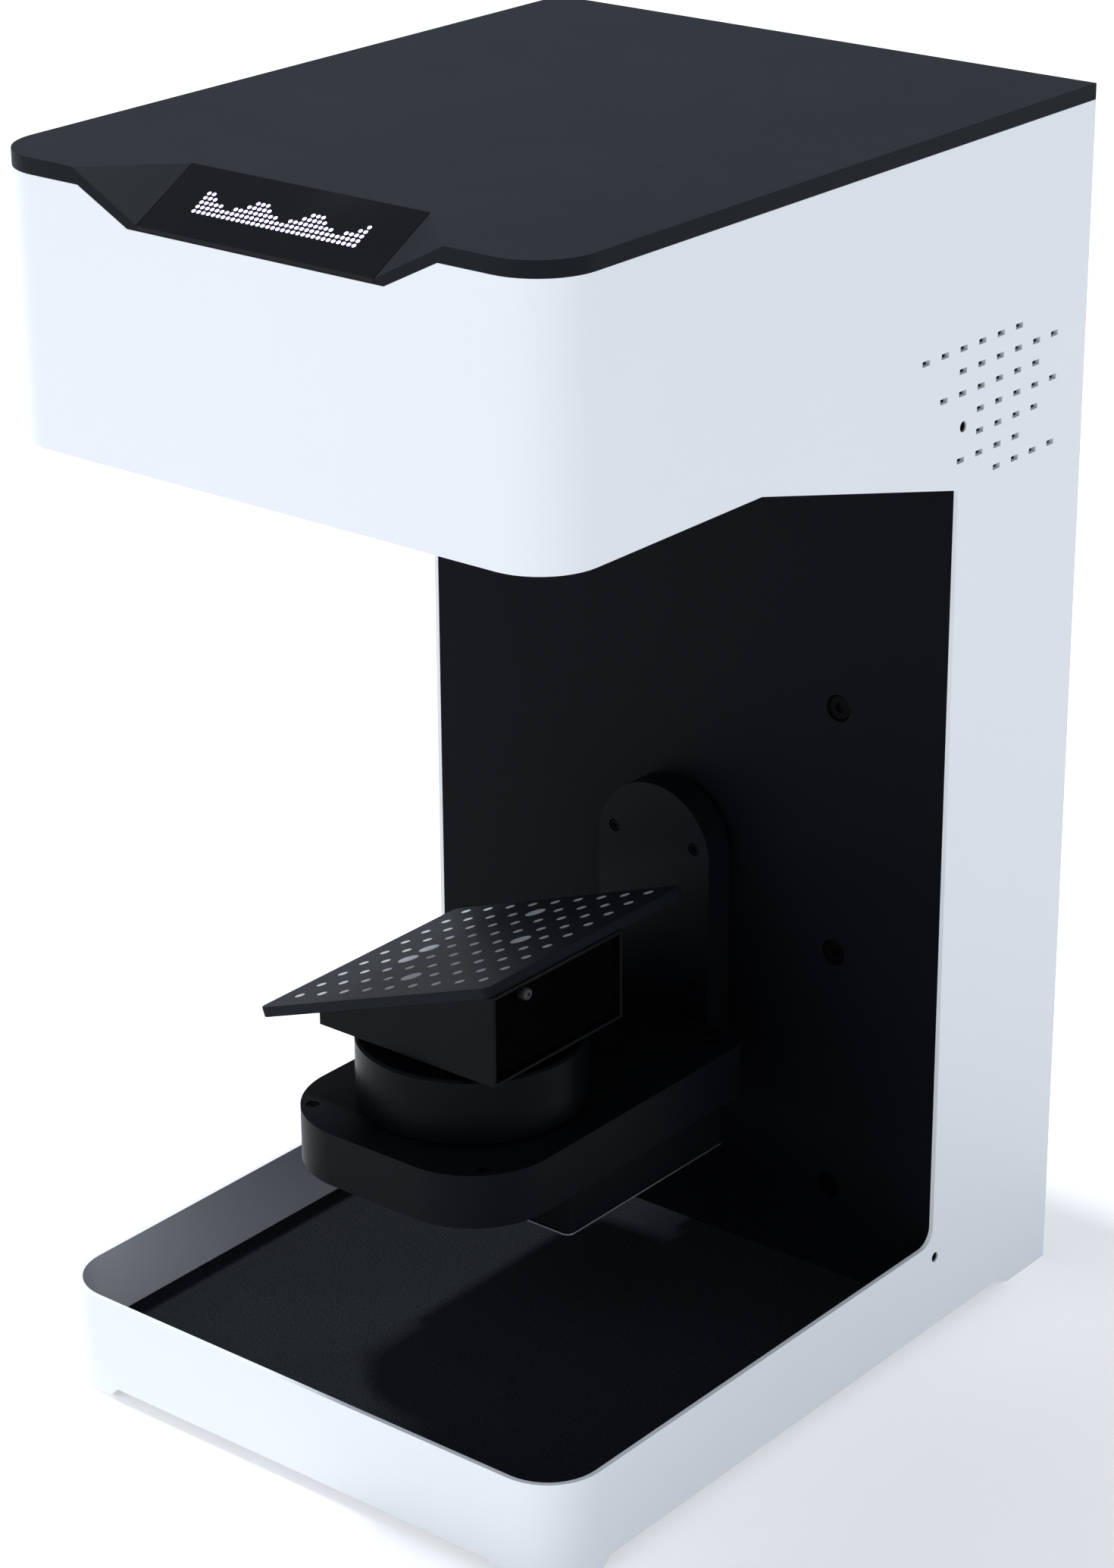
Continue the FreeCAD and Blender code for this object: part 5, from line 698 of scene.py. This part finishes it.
PANEL_SEAT = 0.08375
panel_points = [(0.0807, PANEL_SEAT, 0.0557 + 0.10945 * row) for row in ROWS]
screw_row("panel_socket_screws", "panel_screws", panel_points, (0, -1, 0), PANEL_SIZES, 3)
ARM_SEAT = 0.1274
arm_points = [(side * 0.045, -0.10425, ARM_SEAT) for side in BOTH_SIDES]
arm_points += [(side * 0.048, 0.04175, ARM_SEAT) for side in BOTH_SIDES]
screw_row("arm_socket_screws", "arm_screws", arm_points, (0, 0, 1), ARM_SIZES, 5)
ARCH_SEAT = 0.06435
arch_points = [(side * 0.021, ARCH_SEAT, height) for side in BOTH_SIDES for height in (0.1386, 0.202)]
screw_row("arch_socket_screws", "arch_screws", arch_points, (0, -1, 0), ARCH_SIZES, 7)
BACK_SEAT = 0.16675
back_points = [(side * 0.1235, BACK_SEAT, 0.036 + 0.155 * row) for side in BOTH_SIDES for row in ROWS]
screw_row("back_socket_screws", "back_cover_screws", back_points, (0, 1, 0), BACK_SIZES, 11)
SIDE_SEAT = 0.133
SIDE_Y = 0.08275
for side, word in zip(BOTH_SIDES, ("left", "right")):
    side_points = [(side * SIDE_SEAT, SIDE_Y, height) for height in (0.0386, 0.4045)]
    screw_row("side_socket_screws_" + word, "side_screws", side_points, (side, 0, 0), SIDE_SIZES,
              13 + side)

# %% [markdown]
# The flat plate on the wedge is a calibration target: a black plate with a
# square field of round white marks at an exact pitch. Five marks are larger, so
# that the software can tell how the plate is turned. Marks that thin could be
# a pattern in the material, but real discs stay sharp from near and survive an
# export, so a second small tree sets a disc on every point of the field.

# %% The marks on the calibration target
BOARD_TILT = math.radians(20.3)
BOARD_EDGE = Vector((0.0445, -0.09855, 0.20088))
BOARD_ALONG = Vector((-math.cos(BOARD_TILT), 0, -math.sin(BOARD_TILT)))
BOARD_NORMAL = Vector((-math.sin(BOARD_TILT), 0, math.cos(BOARD_TILT)))
BOARD_THICKNESS = 0.0044
BOARD_HALF = 0.065
MARKS = 9
MARK_PITCH = 0.01313
MARK_RADIUS = 0.0021
LARGE_SHARE = 2.1
LARGE_MARKS = {(4, 1), (2, 3), (2, 4), (6, 4), (4, 7)}
PRINT_HEIGHT = 0.00012
MARK_SIDES = 28


def build_mark_tree():
    tree, given, result = geometry_tree("Printed marks", [
        ("Radius", "Float"), ("Height", "Float"), ("Facing", "Vector"), ("Finish", "Material")])
    disc = cylinder(tree, MARK_SIDES, given.outputs["Radius"], given.outputs["Height"])
    share = add(tree, "GeometryNodeInputNamedAttribute", {"data_type": "FLOAT"}, {"Name": "share"})
    size = add(tree, "ShaderNodeCombineXYZ", None, {
        "X": share.outputs[0], "Y": share.outputs[0], "Z": 1.0})
    copy_on_points(tree, given, result, disc, {
        "Rotation": facing_way(tree, given.outputs["Facing"]), "Scale": size.outputs[0]})
    return tree


board_middle = (BOARD_EDGE + BOARD_ALONG * BOARD_HALF + Vector((0, BOARD_HALF, 0))
                + BOARD_NORMAL * BOARD_THICKNESS)
mark_points = []
mark_shares = []
for i in range(MARKS):
    for j in range(MARKS):
        across = (i - (MARKS - 1) / 2) * MARK_PITCH
        along = (j - (MARKS - 1) / 2) * MARK_PITCH
        mark_points.append(board_middle - BOARD_ALONG * across + Vector((0, along, 0)))
        mark_shares.append(LARGE_SHARE if (i, j) in LARGE_MARKS else 1.0)
marks = from_points("plate_dots", build_mark_tree(), mark_points, {
    "Radius": MARK_RADIUS, "Height": PRINT_HEIGHT, "Facing": BOARD_NORMAL,
    "Finish": FINISHES["target_dots"]}, mark_shares)
settle(marks, "turntable", "target_black")

# %% [markdown]
# The display in the lid's nose is a dark pane with light behind it. It shows a
# generic level meter: columns of small rounded lamps whose heights follow a
# smooth wave, in pale violet light. Each lamp is a real block, so it stays crisp
# from near, and Geometry Nodes set one on every point.

# %% The level meter in the display
DISPLAY_LOW = Vector((0, -0.16925, 0.506))
DISPLAY_TOP = Vector((0, -0.13875, 0.523))
display_up = (DISPLAY_TOP - DISPLAY_LOW).normalized()
display_normal = Vector((1, 0, 0)).cross(display_up)
METER_COLUMNS = 33
METER_ROWS = 5
LAMP_PITCH = 0.0024
LAMP_SIDE = 0.0017
LAMP_CORNER = 0.0005
LAMP_HEIGHT = 0.00006
WAVE_COLUMNS = 11.0
WAVE_FLOOR = 0.25


def build_lamp_tree():
    tree, given, result = geometry_tree("Display lamps", [
        ("Side", "Float"), ("Corner", "Float"), ("Height", "Float"), ("Tilt", "Rotation"),
        ("Finish", "Material")])
    get = given.outputs
    outline = add(tree, "GeometryNodeCurvePrimitiveQuadrilateral", None, {
        "Width": get["Side"], "Height": get["Side"]})
    rounded = add(tree, "GeometryNodeFilletCurve", None, {
        "Curve": outline.outputs[0], "Radius": get["Corner"]})
    face = add(tree, "GeometryNodeFillCurve", None, {"Curve": rounded.outputs[0]})
    offset = add(tree, "ShaderNodeCombineXYZ", None, {"Z": get["Height"]})
    block = add(tree, "GeometryNodeExtrudeMesh", {"mode": "FACES"}, {
        "Mesh": face.outputs[0], "Offset": offset.outputs[0], "Individual": False})
    copy_on_points(tree, given, result, block.outputs["Mesh"], {"Rotation": get["Tilt"]})
    return tree


lamp_points = []
for column in range(METER_COLUMNS):
    wave = 0.5 + 0.5 * math.cos(column * 2 * math.pi / WAVE_COLUMNS)
    high = 1 + round((METER_ROWS - 1) * (WAVE_FLOOR + (1.0 - WAVE_FLOOR) * wave))
    for row in range(high):
        across = (column - (METER_COLUMNS - 1) / 2) * LAMP_PITCH
        up = (row - (METER_ROWS - 1) / 2) * LAMP_PITCH
        lamp_points.append((DISPLAY_LOW + DISPLAY_TOP) / 2 + Vector((across, 0, 0)) + display_up * up)
display_tilt = math.atan2(display_up.z, display_up.y)
lamps = from_points("display_lamps", build_lamp_tree(), lamp_points, {
    "Side": LAMP_SIDE, "Corner": LAMP_CORNER, "Height": LAMP_HEIGHT, "Tilt": (display_tilt, 0.0, 0.0),
    "Finish": FINISHES["display_glow"]})
settle(lamps, "housing", "display_glass")
print("Lamps lit:", len(lamp_points))

# %% [markdown]
# Behind the windows under the head sit a projector lens and two camera lenses.
# Their barrels are CAD pieces with a shallow cup in front, which would look
# blind without glass. A shallow dome in each cup catches the light as a real
# front element does. The optics stand square to the sloping underside, so one
# helper turns a place on that slope into a place in the frame.

# %% Front elements of the lenses
SLOPE_ANGLE = math.radians(13.9)
SLOPE_PLACE = Matrix.Translation((0, 0.01625, 0.39504)) @ Matrix.Rotation(-SLOPE_ANGLE, 4, "X")
TOE_ANGLE = math.radians(16.8)
BENCH_TOP = 0.0465
CAMERA_X = 0.085
CAMERA_LIFT = BENCH_TOP + 0.0145 * math.tan(TOE_ANGLE)
PROJECTOR_GLASS = (0.0099, 0.0014)
PROJECTOR_GLASS_DROP = 0.034
CAMERA_GLASS = (0.0079, 0.0013)
CAMERA_GLASS_DROP = 0.028
DOME_RINGS = 10
DOME_STEPS = 40


def closed_piece(name, points, faces, finish_name):
    """A smooth-shaded object with every face turned outward."""
    mesh = bpy.data.meshes.new(name)
    mesh.from_pydata([tuple(point) for point in points], [], faces)
    work = bmesh.new()
    work.from_mesh(mesh)
    bmesh.ops.recalc_face_normals(work, faces=work.faces)
    work.to_mesh(mesh)
    work.free()
    shade_smooth(mesh)
    mesh.materials.append(FINISHES[finish_name])
    return stand(name, mesh)


def band(start, steps):
    """The faces between one ring of points and the next, from the first ring's start."""
    return [(start + step, start + (step + 1) % steps, start + steps + (step + 1) % steps,
             start + steps + step) for step in range(steps)]


def dome(name, place, size):
    """A closed glass dome that bulges along the place's own -Z."""
    radius, rise = size
    points = [place @ Vector((0, 0, -rise))]
    for ring in range(1, DOME_RINGS + 1):
        share = ring / DOME_RINGS
        depth = -rise * (1 - share * share)
        for step in range(DOME_STEPS):
            angle = 2 * math.pi * step / DOME_STEPS
            points.append(place @ Vector((radius * share * math.cos(angle),
                                          radius * share * math.sin(angle), depth)))
    faces = [(0, 1 + (step + 1) % DOME_STEPS, 1 + step) for step in range(DOME_STEPS)]
    for ring in range(DOME_RINGS - 1):
        faces += band(1 + ring * DOME_STEPS, DOME_STEPS)
    faces.append(tuple(range(1 + (DOME_RINGS - 1) * DOME_STEPS, 1 + DOME_RINGS * DOME_STEPS)))
    piece = settle(closed_piece(name, points, faces, "lens_glass"), "housing", "lens_black")
    print("%-22s %6d faces" % (name, len(piece.data.polygons)))


projector_place = Matrix.Translation((0, 0, BENCH_TOP - PROJECTOR_GLASS_DROP))
dome("projector_front_glass", SLOPE_PLACE @ projector_place, PROJECTOR_GLASS)
for side, word in zip(BOTH_SIDES, ("left", "right")):
    beside = Matrix.Translation((side * CAMERA_X, 0, CAMERA_LIFT))
    toe = beside @ Matrix.Rotation(side * TOE_ANGLE, 4, "Y")
    camera_place = SLOPE_PLACE @ toe @ Matrix.Translation((0, 0, -CAMERA_GLASS_DROP))
    dome("camera_front_glass_" + word, camera_place, CAMERA_GLASS)

# %% [markdown]
# A small metal thumb screw holds the end cover of the wedge. Its head is
# fluted, so that fingers can turn it. A cylinder with a bevel would look too
# plain, so the head is drawn ring by ring from a short profile, with shallow
# flutes round it and a sunk middle. The stem behind it is in the same mesh.

# %% The thumb screw
KNOB_CENTRE = Vector((0.0438, -0.07895, 0.19663))
KNOB_RADIUS = 0.0026
KNOB_HEIGHT = 0.0045
KNOB_STEM = 0.0015
KNOB_REACH = 0.004
FLUTES = 22
FLUTE_DEPTH = 0.06
STEM_SIDES = 24
# Height and radius of the head's profile, as shares of its height and radius.
KNOB_PROFILE = [(0.0, 0.90), (0.12, 1.0), (0.78, 1.0), (0.92, 0.93), (1.0, 0.74), (1.0, 0.34),
                (0.86, 0.28), (0.86, 0.02)]


def thumb_screw(name):
    """A fluted head that faces +X and a plain stem behind it."""
    steps = FLUTES * 4
    points = []
    for height, share in KNOB_PROFILE:
        for step in range(steps):
            angle = 2 * math.pi * step / steps
            fluted = step % 4 in (1, 2) and share > 0.8
            radius = KNOB_RADIUS * share * (1.0 - FLUTE_DEPTH if fluted else 1.0)
            points.append((height * KNOB_HEIGHT, radius * math.cos(angle), radius * math.sin(angle)))
    faces = []
    for row in range(len(KNOB_PROFILE) - 1):
        faces += band(row * steps, steps)
    faces.append(tuple(range(len(points) - steps, len(points))))
    faces.append(tuple(reversed(range(steps))))
    start = len(points)
    for depth in (0.0, -KNOB_REACH):
        for step in range(STEM_SIDES):
            angle = 2 * math.pi * step / STEM_SIDES
            points.append((depth, KNOB_STEM * math.cos(angle), KNOB_STEM * math.sin(angle)))
    faces += band(start, STEM_SIDES)
    faces.append(tuple(start + step for step in range(STEM_SIDES)))
    faces.append(tuple(start + STEM_SIDES + step for step in reversed(range(STEM_SIDES))))
    # Its finish is nickel darkened as painted shade.
    piece = closed_piece(name, [KNOB_CENTRE + Vector(point) for point in points], faces, "nickel_in_painted_shade")
    return settle(piece, "turntable", SLOT_OF["wedge_knob"], "wedge_knob")


knob = thumb_screw("thumb_screw")
print("Thumb screw faces:", len(knob.data.polygons))
